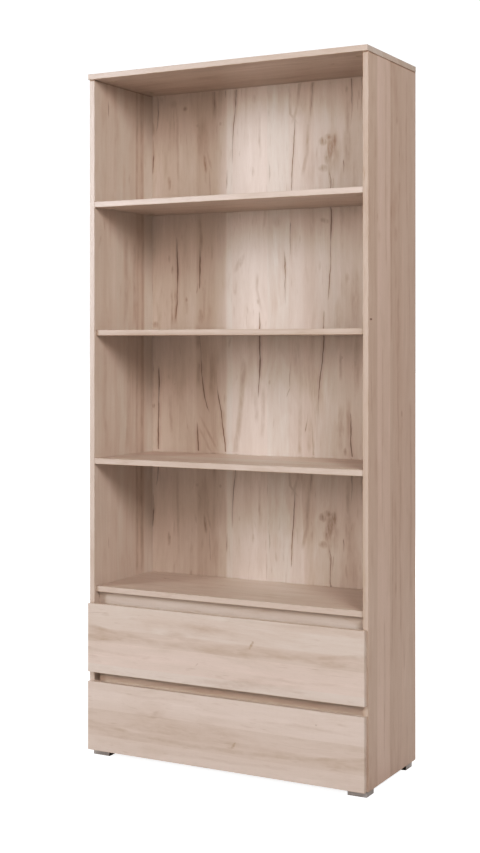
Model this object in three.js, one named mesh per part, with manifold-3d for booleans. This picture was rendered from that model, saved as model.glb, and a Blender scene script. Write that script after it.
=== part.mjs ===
// Tall open bookcase with two full-width drawers at the bottom.
// Units are millimetres, +Z is up, the front faces -Y and +X is to the right.
// The origin is the centre of the overall footprint, on the floor.

import * as THREE from 'three';
import { mergeVertices } from 'three/addons/utils/BufferGeometryUtils.js';
import Module from 'manifold-3d';

const wasm = await Module();
wasm.setup();

// ---------------------------------------------------------------- dimensions
const GAP = 0.2;               // play between neighbouring boards
const BOARD = 16;              // carcass board thickness
const HDF = 3;                 // back panels and drawer bottoms

const WIDTH = 880;             // over the two side panels
const SIDE_DEPTH = 338;        // depth of the side panels
const SIDE_HEIGHT = 1946;      // height of the side panels
const FOOT_HEIGHT = 18;
const TOP_OVER_SIDE = 1;       // the top laps over each side by this much
const TOP_OVER_FRONT = 8;      // and over the front edge of the sides by this much

const SHELF_TOPS = { lower: 845, middle: 1218, upper: 1591 };  // above the side's bottom edge
const DRAWER_TOP_Z = 472;      // upper face of the fixed board over the drawers
const RECESS_MIDDLE = 9.5;     // front edge of the loose shelf behind the side's front edge
const RECESS_DRAWER_TOP = 9;   // the same for the board over the drawers
const RAIL_RECESS = 26;        // front face of both rails behind the side's front edge
const RAIL_HEIGHT = 60;

const GROOVE_Y = 319.8;        // groove for the back, from the side's front edge
const GROOVE_WIDTH = 3.6;
const GROOVE_DEPTH = 6;
const BACK_Y = 320.1;
const SHELF_BACK = 319;        // rear edge of the shelves

const FRONT_THICK = 16;        // drawer front
const FRONT_CLEAR = 0.5;       // between the front's back face and the side's front edge
const FRONT_INSET = 4;         // drawer front narrower than the carcass, each side
const FRONT_HEIGHT = 199;
const FRONT_LOWER_Z = 0.5;     // lower edges of the fronts above the side's bottom edge
const FRONT_UPPER_Z = 226.3;

const RUN = 13;                // room for a runner on each side of a drawer box
const BOX_SIDE = 12;           // thickness of the drawer box sides and back
const BOX_HEIGHT = 138;
const BOX_DEPTH = 300;
const BOX_LOWER_Z = 22;        // lower edges of the drawer boxes above the side's bottom edge
const BOX_UPPER_Z = 248;
const BOTTOM_UP = 10;          // the drawer bottom above the lower edge of the box
const RUNNER_UP = 50;          // runner's centre line above the lower edge of the box

const RUNNER_LENGTH = 300;
const RUNNER_START = 2;        // runner's front end behind the side's front edge

const FOOT_W = 56, FOOT_D = 46, FOOT_INSET = 7, COVER = 1;
const PIN_R = 2.4, PIN_HOLE_R = 2.7, PIN_HEAD_R = 3.5, PIN_IN = 8, PIN_OUT = 9;   // pins let into the shelf
const NOTCH_HALF = 3.8, NOTCH_HEIGHT = 7.3, NOTCH_LENGTH = 10;
const CAM_R = 7.5, CAM_BORE_R = 7.8, CAM_DEPTH = 9.6;

const HALF = WIDTH / 2;
const INNER = HALF - BOARD;    // inner face of each side panel
const Y_FRONT = -(FRONT_THICK + FRONT_CLEAR);
const Y_SHIFT = (SIDE_DEPTH + Y_FRONT) / 2;   // side's front edge to the origin
const Z0 = FOOT_HEIGHT;        // lower edge of the side panels

// ---------------------------------------------------------------- materials
const oak = (tint) => new THREE.MeshStandardMaterial({ color: tint, roughness: 0.55, metalness: 0.0 });
const OAK = 0xcbb5a4, OAK_IN = 0xbfa694, OAK_BACK = 0xc9b29f;
const steel = () => new THREE.MeshStandardMaterial({ color: 0xb9bbbd, roughness: 0.35, metalness: 0.9 });
const silver = () => new THREE.MeshStandardMaterial({ color: 0xa9a3a3, roughness: 0.38, metalness: 0.6 });
const black = () => new THREE.MeshStandardMaterial({ color: 0x17130f, roughness: 0.6, metalness: 0.0 });
const white = () => new THREE.MeshStandardMaterial({ color: 0xe6e3dd, roughness: 0.6, metalness: 0.0 });
const zinc = () => new THREE.MeshStandardMaterial({ color: 0xa8a9a6, roughness: 0.45, metalness: 0.8 });

// ---------------------------------------------------------------- helpers
const bookcase = new THREE.Group();
bookcase.name = 'bookcase_with_bottom_drawers';
const carcass = new THREE.Group();
carcass.position.set(0, -Y_SHIFT, Z0);   // inside: y = 0 at the side's front edge, z = 0 at its lower edge
bookcase.add(carcass);

function put(parent, name, geometry, material, position = [0, 0, 0]) {
  const mesh = new THREE.Mesh(geometry, material);
  mesh.name = name;
  mesh.position.set(...position);
  parent.add(mesh);
  return mesh;
}

function board(parent, name, low, high, material) {
  const size = high.map((v, i) => v - low[i]);
  return put(parent, name, new THREE.BoxGeometry(...size), material, low.map((v, i) => v + size[i] / 2));
}

function boxAt(low, high) {
  const size = high.map((v, i) => v - low[i]);
  return new THREE.BoxGeometry(...size).translate(...low.map((v, i) => v + size[i] / 2));
}

function shapeOf(points) {
  return new THREE.Shape(points.map(([a, b]) => new THREE.Vector2(a, b)));
}

// plan section (x, y) raised along z
function raise(points, z0, z1) {
  return new THREE.ExtrudeGeometry(shapeOf(points), { depth: z1 - z0, bevelEnabled: false, steps: 1 }).translate(0, 0, z0);
}

// end section (y, z) drawn out along x
function drawX(points, x0, x1) {
  const g = new THREE.ExtrudeGeometry(shapeOf(points), { depth: x1 - x0, bevelEnabled: false, steps: 1 });
  g.applyMatrix4(new THREE.Matrix4().makeBasis(
    new THREE.Vector3(0, 1, 0), new THREE.Vector3(0, 0, 1), new THREE.Vector3(1, 0, 0)));
  return g.translate(x0, 0, 0);
}

// front section (x, z) drawn out along y
function drawY(points, y0, y1) {
  const g = new THREE.ExtrudeGeometry(shapeOf(points), { depth: y1 - y0, bevelEnabled: false, steps: 1 });
  return g.rotateX(Math.PI / 2).translate(0, y1, 0);
}

function rodX(radius, x0, x1, y, z, sides = 24) {
  return new THREE.CylinderGeometry(radius, radius, Math.abs(x1 - x0), sides)
    .rotateZ(Math.PI / 2).translate((x0 + x1) / 2, y, z);
}

function solid(geometry) {
  const g = geometry.clone();
  g.deleteAttribute('normal');
  g.deleteAttribute('uv');
  const m = mergeVertices(g, 1e-4);
  return new wasm.Manifold(new wasm.Mesh({
    numProp: 3,
    vertProperties: new Float32Array(m.attributes.position.array),
    triVerts: new Uint32Array(m.index.array),
  }));
}

function surface(manifold) {
  const mesh = manifold.getMesh();
  const g = new THREE.BufferGeometry();
  g.setAttribute('position', new THREE.BufferAttribute(new Float32Array(mesh.vertProperties), 3));
  g.setIndex(new THREE.BufferAttribute(new Uint32Array(mesh.triVerts), 1));
  g.computeVertexNormals();
  return g;
}

function cut(geometry, ...tools) {
  let body = solid(geometry);
  for (const tool of tools) body = body.subtract(solid(tool));
  return surface(body);
}

// ---------------------------------------------------------------- carcass
const pinY = [RECESS_MIDDLE + 37, SHELF_BACK - 37];
const middleUnder = SHELF_TOPS.middle - BOARD;
const pinZ = middleUnder + 0.1 + PIN_HEAD_R;

for (const [word, s] of [['left', -1], ['right', 1]]) {
  // a full-height groove for the back and two blind holes for the shelf pins
  const plan = [
    [s * INNER, 0], [s * HALF, 0], [s * HALF, SIDE_DEPTH], [s * INNER, SIDE_DEPTH],
    [s * INNER, GROOVE_Y + GROOVE_WIDTH], [s * (INNER + GROOVE_DEPTH), GROOVE_Y + GROOVE_WIDTH],
    [s * (INNER + GROOVE_DEPTH), GROOVE_Y], [s * INNER, GROOVE_Y],
  ];
  const holes = pinY.map((y) => rodX(PIN_HOLE_R, s * (INNER - 1), s * (INNER + PIN_IN + 0.6), y, pinZ, 20));
  put(carcass, `side_panel_${word}`, cut(raise(plan, 0, SIDE_HEIGHT), ...holes), oak(OAK));
}

put(carcass, 'top_panel', cut(
  boxAt([-HALF - TOP_OVER_SIDE, -TOP_OVER_FRONT, SIDE_HEIGHT + GAP], [HALF + TOP_OVER_SIDE, SIDE_DEPTH, SIDE_HEIGHT + BOARD]),
  boxAt([-INNER - GROOVE_DEPTH, GROOVE_Y, SIDE_HEIGHT - 1], [INNER + GROOVE_DEPTH, GROOVE_Y + GROOVE_WIDTH, SIDE_HEIGHT + GROOVE_DEPTH]),
), oak(OAK));

put(carcass, 'bottom_panel', drawX([
  [0, 0], [SIDE_DEPTH, 0], [SIDE_DEPTH, BOARD], [GROOVE_Y + GROOVE_WIDTH, BOARD],
  [GROOVE_Y + GROOVE_WIDTH, BOARD - GROOVE_DEPTH], [GROOVE_Y, BOARD - GROOVE_DEPTH], [GROOVE_Y, BOARD], [0, BOARD],
], -INNER + GAP, INNER - GAP), oak(OAK));

board(carcass, 'drawer_top_panel', [-INNER + GAP, RECESS_DRAWER_TOP, DRAWER_TOP_Z - BOARD], [INNER - GAP, 318.2, DRAWER_TOP_Z], oak(OAK));
board(carcass, 'shelf_lower', [-INNER + GAP, 0, SHELF_TOPS.lower - BOARD], [INNER - GAP, SHELF_BACK, SHELF_TOPS.lower], oak(OAK));
// the loose shelf has four notches in its underside, so its pins don't show from below
const notches = pinY.flatMap((y) => [-1, 1].map((s) => {
  const ends = [s * (INNER - NOTCH_LENGTH), s * (INNER + 1)].sort((a, b) => a - b);
  return boxAt([ends[0], y - NOTCH_HALF, middleUnder - 1], [ends[1], y + NOTCH_HALF, middleUnder + NOTCH_HEIGHT]);
}));
put(carcass, 'shelf_middle', cut(
  boxAt([-INNER + 0.6, RECESS_MIDDLE, middleUnder], [INNER - 0.6, SHELF_BACK, SHELF_TOPS.middle]), ...notches,
), oak(OAK));
board(carcass, 'shelf_upper', [-INNER + GAP, 0, SHELF_TOPS.upper - BOARD], [INNER - GAP, SHELF_BACK, SHELF_TOPS.upper], oak(OAK));

const railTop = DRAWER_TOP_Z - BOARD - GAP;
board(carcass, 'rail_upper', [-INNER + GAP, RAIL_RECESS, railTop - RAIL_HEIGHT], [INNER - GAP, RAIL_RECESS + BOARD, railTop], oak(OAK));
const gapMid = (FRONT_LOWER_Z + FRONT_HEIGHT + FRONT_UPPER_Z) / 2;
board(carcass, 'rail_middle', [-INNER + GAP, RAIL_RECESS, gapMid - RAIL_HEIGHT / 2], [INNER - GAP, RAIL_RECESS + BOARD, gapMid + RAIL_HEIGHT / 2], oak(OAK));

// two thin back panels, joined behind the board over the drawers by an H-section strip
const joinZ = DRAWER_TOP_Z - BOARD / 2;
const backHalf = INNER + GROOVE_DEPTH - 0.6;
board(carcass, 'back_panel_lower', [-backHalf, BACK_Y, BOARD - GROOVE_DEPTH + 0.4], [backHalf, BACK_Y + HDF, joinZ - 0.8], oak(OAK_BACK));
board(carcass, 'back_panel_upper', [-backHalf, BACK_Y, joinZ + 0.8], [backHalf, BACK_Y + HDF, SIDE_HEIGHT + GROOVE_DEPTH - 0.4], oak(OAK_BACK));
{
  const y0 = BACK_Y - 0.25, y1 = BACK_Y + HDF + 0.25, t = 0.9, h = 6.5, w = 0.5;
  put(carcass, 'back_joining_strip', drawX([
    [y0 - t, joinZ - h], [y0, joinZ - h], [y0, joinZ - w], [y1, joinZ - w], [y1, joinZ - h], [y1 + t, joinZ - h],
    [y1 + t, joinZ + h], [y1, joinZ + h], [y1, joinZ + w], [y0, joinZ + w], [y0, joinZ + h], [y0 - t, joinZ + h],
  ], -INNER + 0.5, INNER - 0.5), white());
}

// shelf pins: a shank in the side panel and a thicker head in the loose shelf's notch
for (const [end, y] of [['f', pinY[0]], ['r', pinY[1]]]) {
  for (const [hand, s] of [['l', -1], ['r', 1]]) {
    const profile = [[0, 0], [PIN_R, 0], [PIN_R, PIN_IN], [PIN_HEAD_R, PIN_IN], [PIN_HEAD_R, PIN_IN + PIN_OUT - 0.5],
      [PIN_HEAD_R - 0.5, PIN_IN + PIN_OUT], [0, PIN_IN + PIN_OUT]].map(([a, b]) => new THREE.Vector2(a, b));
    const g = new THREE.LatheGeometry(profile, 20);
    g.rotateZ(s > 0 ? Math.PI / 2 : -Math.PI / 2);    // the shank points into the side panel
    put(carcass, `shelf_pin_${end}${hand}`, surface(solid(g)), zinc(), [s * (INNER + PIN_IN - GAP), y, pinZ]);
  }
}

// feet: a black block with a silver cover over its two outer faces
function arc(cx, cy, r, a0, a1, n) {
  return Array.from({ length: n + 1 }, (_, i) => {
    const a = (a0 + (a1 - a0) * i / n) * Math.PI / 180;
    return [cx + r * Math.cos(a), cy + r * Math.sin(a)];
  });
}
for (const [end, e] of [['f', 1], ['r', -1]]) {
  for (const [hand, s] of [['l', -1], ['r', 1]]) {
    const cornerX = s * (HALF - FOOT_INSET);
    const cornerY = e > 0 ? FOOT_INSET : SIDE_DEPTH - FOOT_INSET;
    // drawn with the outer corner at the origin, the foot towards -u and +v
    const place = (pts) => pts.map(([u, v]) => [cornerX + s * u, cornerY + e * v]);
    const r = 4, c = COVER, k = COVER + 0.2;
    put(carcass, `foot_block_${end}${hand}`, raise(place([
      [-FOOT_W, k], ...arc(-k - (r - k), k + (r - k), r - k, -90, 0, 4), [-k, FOOT_D], [-FOOT_W, FOOT_D],
    ]), -FOOT_HEIGHT, -GAP), black());
    put(carcass, `foot_cover_${end}${hand}`, raise(place([
      [-FOOT_W, 0], ...arc(-r, r, r, -90, 0, 6), [0, FOOT_D], [-c, FOOT_D],
      ...arc(-r, r, r - c, 0, -90, 6), [-FOOT_W, c],
    ]), -FOOT_HEIGHT + 0.8, -0.8), silver());
  }
}

// ---------------------------------------------------------------- drawers
// runner section: u runs inwards from the side panel's face, z about the runner's centre line
const CABINET_RAIL = [
  [0.2, -22.5], [9.8, -22.5], [9.8, -19], [8.8, -19], [8.8, -21.3], [1.4, -21.3],
  [1.4, 21.3], [8.8, 21.3], [8.8, 19], [9.8, 19], [9.8, 22.5], [0.2, 22.5]];
const MIDDLE_RAIL = [
  [2.4, -17], [10.6, -17], [10.6, -14.2], [9.6, -14.2], [9.6, -16], [3.4, -16],
  [3.4, 16], [9.6, 16], [9.6, 14.2], [10.6, 14.2], [10.6, 17], [2.4, 17]];
const DRAWER_RAIL = [
  [12.8, -12.5], [4.6, -12.5], [4.6, -9.8], [5.6, -9.8], [5.6, -11.4], [11.7, -11.4],
  [11.7, 11.4], [5.6, 11.4], [5.6, 9.8], [4.6, 9.8], [4.6, 12.5], [12.8, 12.5]];

for (const [level, frontZ, boxZ] of [['upper', FRONT_UPPER_Z, BOX_UPPER_Z], ['lower', FRONT_LOWER_Z, BOX_LOWER_Z]]) {
  const drawer = new THREE.Group();
  carcass.add(drawer);
  const outer = INNER - RUN;             // outer face of the drawer box
  const inner = outer - BOX_SIDE;
  const slot0 = boxZ + BOTTOM_UP - 0.2, slot1 = boxZ + BOTTOM_UP + HDF + 0.2;
  const boxFront = -FRONT_CLEAR + GAP;
  const boxBack = boxFront + BOX_DEPTH;
  const camY = boxFront + 24;
  const camZ = [boxZ + 38, boxZ + 104];

  put(drawer, `drawer_${level}_front`, cut(
    boxAt([-HALF + FRONT_INSET, Y_FRONT, frontZ], [HALF - FRONT_INSET, -FRONT_CLEAR, frontZ + FRONT_HEIGHT]),
    boxAt([-inner - 5, -FRONT_CLEAR - 6.2, slot0], [inner + 5, 1, slot1]),
  ), oak(OAK));

  for (const [word, s] of [['left', -1], ['right', 1]]) {
    const section = [
      [s * inner, boxZ], [s * outer, boxZ], [s * outer, boxZ + BOX_HEIGHT], [s * inner, boxZ + BOX_HEIGHT],
      [s * inner, slot1], [s * (inner + 5), slot1], [s * (inner + 5), slot0], [s * inner, slot0],
    ];
    const bores = camZ.map((z) => rodX(CAM_BORE_R, s * (inner - 1), s * (inner + CAM_DEPTH + 0.3), camY, z, 28));
    put(drawer, `drawer_${level}_side_${word}`, cut(drawY(section, boxFront, boxBack), ...bores), oak(OAK_IN));
    camZ.forEach((z, i) => {
      put(drawer, `cam_lock_${level}_${word}_${i ? 'high' : 'low'}`, rodX(CAM_R, 0, CAM_DEPTH, 0, 0, 28), zinc(),
        [s > 0 ? inner : -inner - CAM_DEPTH, camY, z]);
    });

    const rz = boxZ + RUNNER_UP;
    const section3 = (profile) => profile.map(([u, z]) => [s * (INNER - u), rz + z]);
    const y0 = RUNNER_START, y1 = RUNNER_START + RUNNER_LENGTH;
    put(drawer, `runner_${level}_${word}_cabinet`, drawY(section3(CABINET_RAIL), y0, y1), steel());
    put(drawer, `runner_${level}_${word}_middle`, drawY(section3(MIDDLE_RAIL), y0, y1 - 3), steel());
    put(drawer, `runner_${level}_${word}_drawer`, drawY(section3(DRAWER_RAIL), y0 - 1, y1 - 6), steel());
  }

  board(drawer, `drawer_${level}_back`, [-inner + GAP, boxBack - BOX_SIDE, slot1 + 0.1], [inner - GAP, boxBack, boxZ + BOX_HEIGHT], oak(OAK_IN));
  board(drawer, `drawer_${level}_bottom`, [-inner - 4.7, -FRONT_CLEAR - 5.8, boxZ + BOTTOM_UP], [inner + 4.7, boxBack - 0.5, boxZ + BOTTOM_UP + HDF], oak(OAK_IN));
}

export default bookcase;
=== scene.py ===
import math

import bmesh
import bpy
from mathutils import Matrix, Vector


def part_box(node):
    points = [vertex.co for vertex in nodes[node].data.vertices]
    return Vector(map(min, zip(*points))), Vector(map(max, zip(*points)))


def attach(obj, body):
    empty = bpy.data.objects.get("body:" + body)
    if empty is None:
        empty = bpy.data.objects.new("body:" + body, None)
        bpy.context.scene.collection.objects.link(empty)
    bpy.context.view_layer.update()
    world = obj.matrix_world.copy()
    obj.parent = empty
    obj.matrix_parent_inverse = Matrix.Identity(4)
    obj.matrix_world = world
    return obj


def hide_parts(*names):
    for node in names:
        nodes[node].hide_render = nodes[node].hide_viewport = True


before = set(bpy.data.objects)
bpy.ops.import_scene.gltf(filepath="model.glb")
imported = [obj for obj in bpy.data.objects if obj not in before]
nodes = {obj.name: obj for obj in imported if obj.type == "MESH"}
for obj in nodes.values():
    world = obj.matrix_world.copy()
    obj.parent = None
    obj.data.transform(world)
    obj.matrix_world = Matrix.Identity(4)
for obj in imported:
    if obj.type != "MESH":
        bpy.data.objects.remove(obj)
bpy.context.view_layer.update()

Y_EDGE = -0.16075      # front edge of the side panels
Z_EDGE = 0.018         # lower edge of the side panels
INNER = 0.424          # inner face of each side panel
REAR = 0.17725         # rear edge of the side panels


# ------------------------------------------------------------------ camera
def make_camera():
    data = bpy.data.cameras.new("camera")
    data.lens = 60.197
    data.sensor_width = 36.0
    data.sensor_fit = "AUTO"
    data.shift_x = 0.0
    data.shift_y = -0.0942
    data.clip_start, data.clip_end = 0.05, 200.0
    cam = bpy.data.objects.new("camera", data)
    cam.location = (1.91879, -3.61461, 1.18902)
    cam.rotation_euler = (math.radians(90), 0.0, math.radians(28.3214))
    bpy.context.scene.collection.objects.link(cam)
    bpy.context.scene.camera = cam
    return cam


make_camera()


# ------------------------------------------------------------------ shader helpers
def lin(r, g, b):
    """An 8-bit sRGB colour in linear light."""
    return tuple(((c / 255 / 12.92) if c / 255 <= 0.04045 else ((c / 255 + 0.055) / 1.055) ** 2.4) for c in (r, g, b))


class Tree:
    """Adds nodes to one shader tree; a value is a number, a colour or a socket."""

    def __init__(self, tree):
        self.t = tree
        self.count = 0
        self._pos = None

    def add(self, kind, **props):
        n = self.t.nodes.new(kind)
        for k, v in props.items():
            setattr(n, k, v)
        n.location = ((self.count % 24) * 190, -(self.count // 24) * 260)
        self.count += 1
        return n

    def put(self, value, socket):
        if isinstance(value, bpy.types.NodeSocket):
            self.t.links.new(value, socket)
        elif isinstance(value, tuple):
            socket.default_value = (*value, 1.0) if len(value) == 3 and len(socket.default_value) == 4 else value
        elif value is not None:
            socket.default_value = value

    def m(self, op, a, b=None, c=None, clamp=False):
        n = self.add("ShaderNodeMath", operation=op, use_clamp=clamp)
        for v, s in zip((a, b, c), n.inputs):
            self.put(v, s)
        return n.outputs[0]

    def xyz(self):
        """Object coordinates, which go along with the piece."""
        if self._pos is None:
            tc = self.add("ShaderNodeTexCoord")
            sep = self.add("ShaderNodeSeparateXYZ")
            self.t.links.new(tc.outputs["Object"], sep.inputs[0])
            self._pos = (sep.outputs[0], sep.outputs[1], sep.outputs[2])
        return self._pos

    def vec(self, x, y, z=0.0):
        n = self.add("ShaderNodeCombineXYZ")
        for v, s in zip((x, y, z), n.inputs):
            self.put(v, s)
        return n.outputs[0]

    def noise(self, x, y, z, scale=1.0, detail=2.0, rough=0.5):
        n = self.add("ShaderNodeTexNoise", noise_dimensions="3D")
        self.put(self.vec(x, y, z), n.inputs["Vector"])
        self.put(float(scale), n.inputs["Scale"])
        self.put(float(detail), n.inputs["Detail"])
        self.put(float(rough), n.inputs["Roughness"])
        return n.outputs[0]

    def band(self, value, lo, hi, to_lo=0.0, to_hi=1.0, smooth=True):
        n = self.add("ShaderNodeMapRange", interpolation_type="SMOOTHSTEP" if smooth else "LINEAR", clamp=True)
        for v, s in zip((value, lo, hi, to_lo, to_hi), n.inputs):
            self.put(v, s)
        return n.outputs[0]

    def mix(self, f, a, b, blend="MIX"):
        n = self.add("ShaderNodeMix", data_type="RGBA", blend_type=blend, clamp_factor=True)
        self.put(f, n.inputs[0])
        self.put(a, n.inputs[6])
        self.put(b, n.inputs[7])
        return n.outputs[2]

    def rgb(self, color):
        n = self.add("ShaderNodeSeparateColor")
        self.put(color, n.inputs[0])
        return n.outputs

    def ramp(self, value, stops, interpolation="LINEAR"):
        """A colour ramp: stops are (place, (r, g, b, a)), at most 32."""
        n = self.add("ShaderNodeValToRGB")
        r = n.color_ramp
        r.interpolation = interpolation
        places = []
        for p, _ in stops:
            places.append(max(p, places[-1] + 1e-5) if places else p)
        r.elements[0].position, r.elements[1].position = places[0], places[-1]
        for p in places[1:-1]:
            r.elements.new(p)
        for e, (_, c) in zip(r.elements, stops):
            e.color = c
        self.put(value, n.inputs[0])
        return n.outputs

    def bump(self, height, distance, strength=1.0):
        n = self.add("ShaderNodeBump")
        self.put(strength, n.inputs["Strength"])
        self.put(distance, n.inputs["Distance"])
        self.put(height, n.inputs["Height"])
        return n.outputs[0]

    def call(self, group, **values):
        n = self.add("ShaderNodeGroup")
        n.node_tree = group
        for k, v in values.items():
            self.put(v, n.inputs[k])
        return n.outputs


class Material(Tree):
    """A Principled material."""

    def __init__(self, name):
        self.mat = bpy.data.materials.new(name)
        self.mat.use_nodes = True
        super().__init__(self.mat.node_tree)
        self.t.nodes.clear()
        self.bsdf = self.add("ShaderNodeBsdfPrincipled")
        out = self.add("ShaderNodeOutputMaterial")
        self.t.links.new(self.bsdf.outputs[0], out.inputs[0])

    def surface(self, color, roughness, normal=None, **sockets):
        self.put(color, self.bsdf.inputs["Base Color"])
        self.put(roughness, self.bsdf.inputs["Roughness"])
        if normal is not None:
            self.put(normal, self.bsdf.inputs["Normal"])
        for k, v in sockets.items():
            self.bsdf.inputs[k.replace("_", " ")].default_value = v
        return self.mat


def group(name, inputs, outputs, build):
    g = bpy.data.node_groups.new(name, "ShaderNodeTree")
    for n in inputs:
        g.interface.new_socket(n, in_out="INPUT", socket_type="NodeSocketFloat")
    for n in outputs:
        g.interface.new_socket(n, in_out="OUTPUT", socket_type="NodeSocketColor" if n.startswith("Color") else "NodeSocketFloat")
    T = Tree(g)
    gin, gout = T.add("NodeGroupInput"), T.add("NodeGroupOutput")
    made = build(T, {n: gin.outputs[n] for n in inputs})
    for n in outputs:
        T.put(made[n], gout.inputs[n])
    return g


# ------------------------------------------------------------------ oak decor
# Every board carries the same pale oak decor: strips of slightly different tone, long fibres,
# flowing figure, thin dark cracks and clouded knots.
OAK_LIGHT = lin(227, 216, 206)
OAK_PINK = lin(232, 207, 196)
OAK_MID = lin(212, 192, 179)
OAK_DARK = lin(177, 150, 131)
OAK_KNOT = lin(146, 109, 80)
OAK_CRACK = lin(108, 68, 42)
CHIP_LIGHT, CHIP_DARK = lin(206, 178, 140), lin(146, 112, 78)
HDF_LIGHT, HDF_DARK = lin(186, 155, 122), lin(150, 118, 89)
DECOR_REPEAT = 1.097


def build_decor(T, i):
    u, v, seed = i["U"], i["V"], i["Seed"]

    def plus(k):
        return T.m("ADD", seed, k)

    # slow wander of the fibres
    w1 = T.noise(T.m("MULTIPLY", u, 5.0), T.m("MULTIPLY", v, 2.6), seed, 1.0, 1.0)
    w2 = T.noise(T.m("MULTIPLY", u, 14.0), T.m("MULTIPLY", v, 13.0), plus(3.7), 1.0, 1.0)
    wander = T.m("ADD", T.m("MULTIPLY", T.m("SUBTRACT", w1, 0.5), 0.030), T.m("MULTIPLY", T.m("SUBTRACT", w2, 0.5), 0.0065))
    uw = T.m("ADD", u, wander)

    # strips, each of one tone
    def strip(scale, k):
        n = T.add("ShaderNodeTexVoronoi", voronoi_dimensions="1D", feature="F1")
        T.put(T.m("MULTIPLY_ADD", T.m("MULTIPLY_ADD", wander, 0.12, u), scale, T.m("MULTIPLY", seed, k)), n.inputs["W"])
        T.put(1.0, n.inputs["Scale"])
        return T.rgb(n.outputs["Color"])
    s1 = strip(11.5, 7.31)
    s2 = strip(27.0, 3.17)

    # broad streaks, fibres and pores
    broad = T.noise(T.m("MULTIPLY", uw, 30.0), T.m("MULTIPLY", v, 1.7), plus(11.0), 1.0, 2.0, 0.55)
    mid = T.noise(T.m("MULTIPLY", uw, 120.0), T.m("MULTIPLY", v, 8.0), plus(17.0), 1.0, 2.0, 0.65)
    # brown blots, pale flecks and short dark dashes with ragged, fibrous edges
    ragged = T.m("MULTIPLY_ADD", T.m("SUBTRACT", mid, 0.5), 0.020, uw)
    blot = T.band(T.noise(T.m("MULTIPLY", ragged, 27.0), T.m("MULTIPLY", v, 6.0), plus(41.0), 1.0, 3.0, 0.6), 0.50, 0.74)
    fleck = T.band(T.noise(T.m("MULTIPLY", ragged, 38.0), T.m("MULTIPLY", v, 4.6), plus(47.0), 1.0, 2.0, 0.6), 0.52, 0.72)
    dash = T.band(T.noise(T.m("MULTIPLY", ragged, 130.0), T.m("MULTIPLY", v, 15.0), plus(43.0), 1.0, 1.0, 0.5), 0.64, 0.78)
    fine = T.noise(T.m("MULTIPLY", uw, 620.0), T.m("MULTIPLY", v, 16.0), plus(23.0), 1.0, 2.0, 0.6)
    pore = T.noise(T.m("MULTIPLY", uw, 1500.0), T.m("MULTIPLY", v, 75.0), plus(29.0), 1.0, 0.0)
    pore = T.band(pore, 0.60, 0.72)

    # flowing figure: level lines of a long, slow noise
    fig = T.noise(T.m("MULTIPLY", uw, 9.0), T.m("MULTIPLY", v, 1.15), plus(31.0), 1.0, 1.0, 0.4)
    fig = T.m("FRACT", T.m("MULTIPLY", fig, 15.0))
    fig = T.m("MULTIPLY", T.band(fig, 0.0, 0.78), T.band(fig, 1.0, 0.80))
    where = T.band(T.noise(T.m("MULTIPLY", u, 4.0), T.m("MULTIPLY", v, 1.6), plus(37.0), 1.0, 1.0), 0.45, 0.62)
    fig = T.m("MULTIPLY", fig, where)

    # scattered cracks and knots
    def scatter(sx, sv, k, keep):
        n = T.add("ShaderNodeTexVoronoi", voronoi_dimensions="3D", feature="F1")
        a, b = T.m("MULTIPLY_ADD", uw, sx, T.m("MULTIPLY", seed, k)), T.m("MULTIPLY", v, sv)
        T.put(T.vec(a, b, 0.0), n.inputs["Vector"])
        T.put(1.0, n.inputs["Scale"])
        sep = T.add("ShaderNodeSeparateXYZ")
        T.put(n.outputs["Position"], sep.inputs[0])
        du, dv = T.m("SUBTRACT", a, sep.outputs[0]), T.m("SUBTRACT", b, sep.outputs[1])
        size = T.band(T.rgb(n.outputs["Color"])[0], 1.0 - keep, 1.0, 0.0, 1.0, False)
        return du, dv, size

    du, dv, size = scatter(8.0, 1.9, 1.7, 0.55)
    a = T.m("ABSOLUTE", T.m("MULTIPLY", du, 1.0 / (8.0 * 0.0014)))
    b = T.m("MULTIPLY", dv, 1.0 / (1.9 * 0.13))
    body = T.m("SUBTRACT", size, T.m("MULTIPLY", b, b))
    crack = T.m("MULTIPLY", T.m("MAXIMUM", T.m("SUBTRACT", body, a), 0.0), i["Wild"])
    halo = T.m("MAXIMUM", T.m("MULTIPLY_ADD", a, -0.16, body), 0.0)
    smudge = T.m("MULTIPLY", T.m("MULTIPLY", halo, 0.38), i["Wild"])
    # knots: a ragged dark heart inside uneven, fading rings
    du, dv, size = scatter(5.1, 3.3, 2.9, 0.28)
    a = T.m("MULTIPLY_ADD", T.m("SUBTRACT", mid, 0.5), 1.1, T.m("MULTIPLY", du, 1.0 / (5.1 * 0.010)))
    b = T.m("MULTIPLY_ADD", T.m("SUBTRACT", w2, 0.5), 1.6, T.m("MULTIPLY", dv, 1.0 / (3.3 * 0.024)))
    r = T.m("SQRT", T.m("MULTIPLY_ADD", a, a, T.m("MULTIPLY", b, b)))
    rings = T.m("MULTIPLY_ADD", T.m("SINE", T.m("MULTIPLY", r, 13.0)), 0.16, 0.62)
    knot = T.m("MULTIPLY", T.m("MAXIMUM", T.m("SUBTRACT", size, r), 0.0), T.m("MULTIPLY", rings, T.m("MULTIPLY", i["Wild"], 1.5)))
    smudge = T.m("MAXIMUM", smudge, T.m("MULTIPLY", knot, T.m("MULTIPLY_ADD", fleck, -0.6, 1.0)))
    heart = T.m("MAXIMUM", T.m("MULTIPLY_ADD", r, -2.6, T.m("MULTIPLY", size, 0.9)), 0.0)
    crack = T.m("MAXIMUM", crack, T.m("MULTIPLY", heart, T.m("MULTIPLY", i["Wild"], 0.8)))
    smudge = T.m("MAXIMUM", smudge, T.m("MULTIPLY", T.m("MULTIPLY", dash, T.m("MULTIPLY_ADD", blot, 0.6, 0.4)), 0.42))

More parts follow.
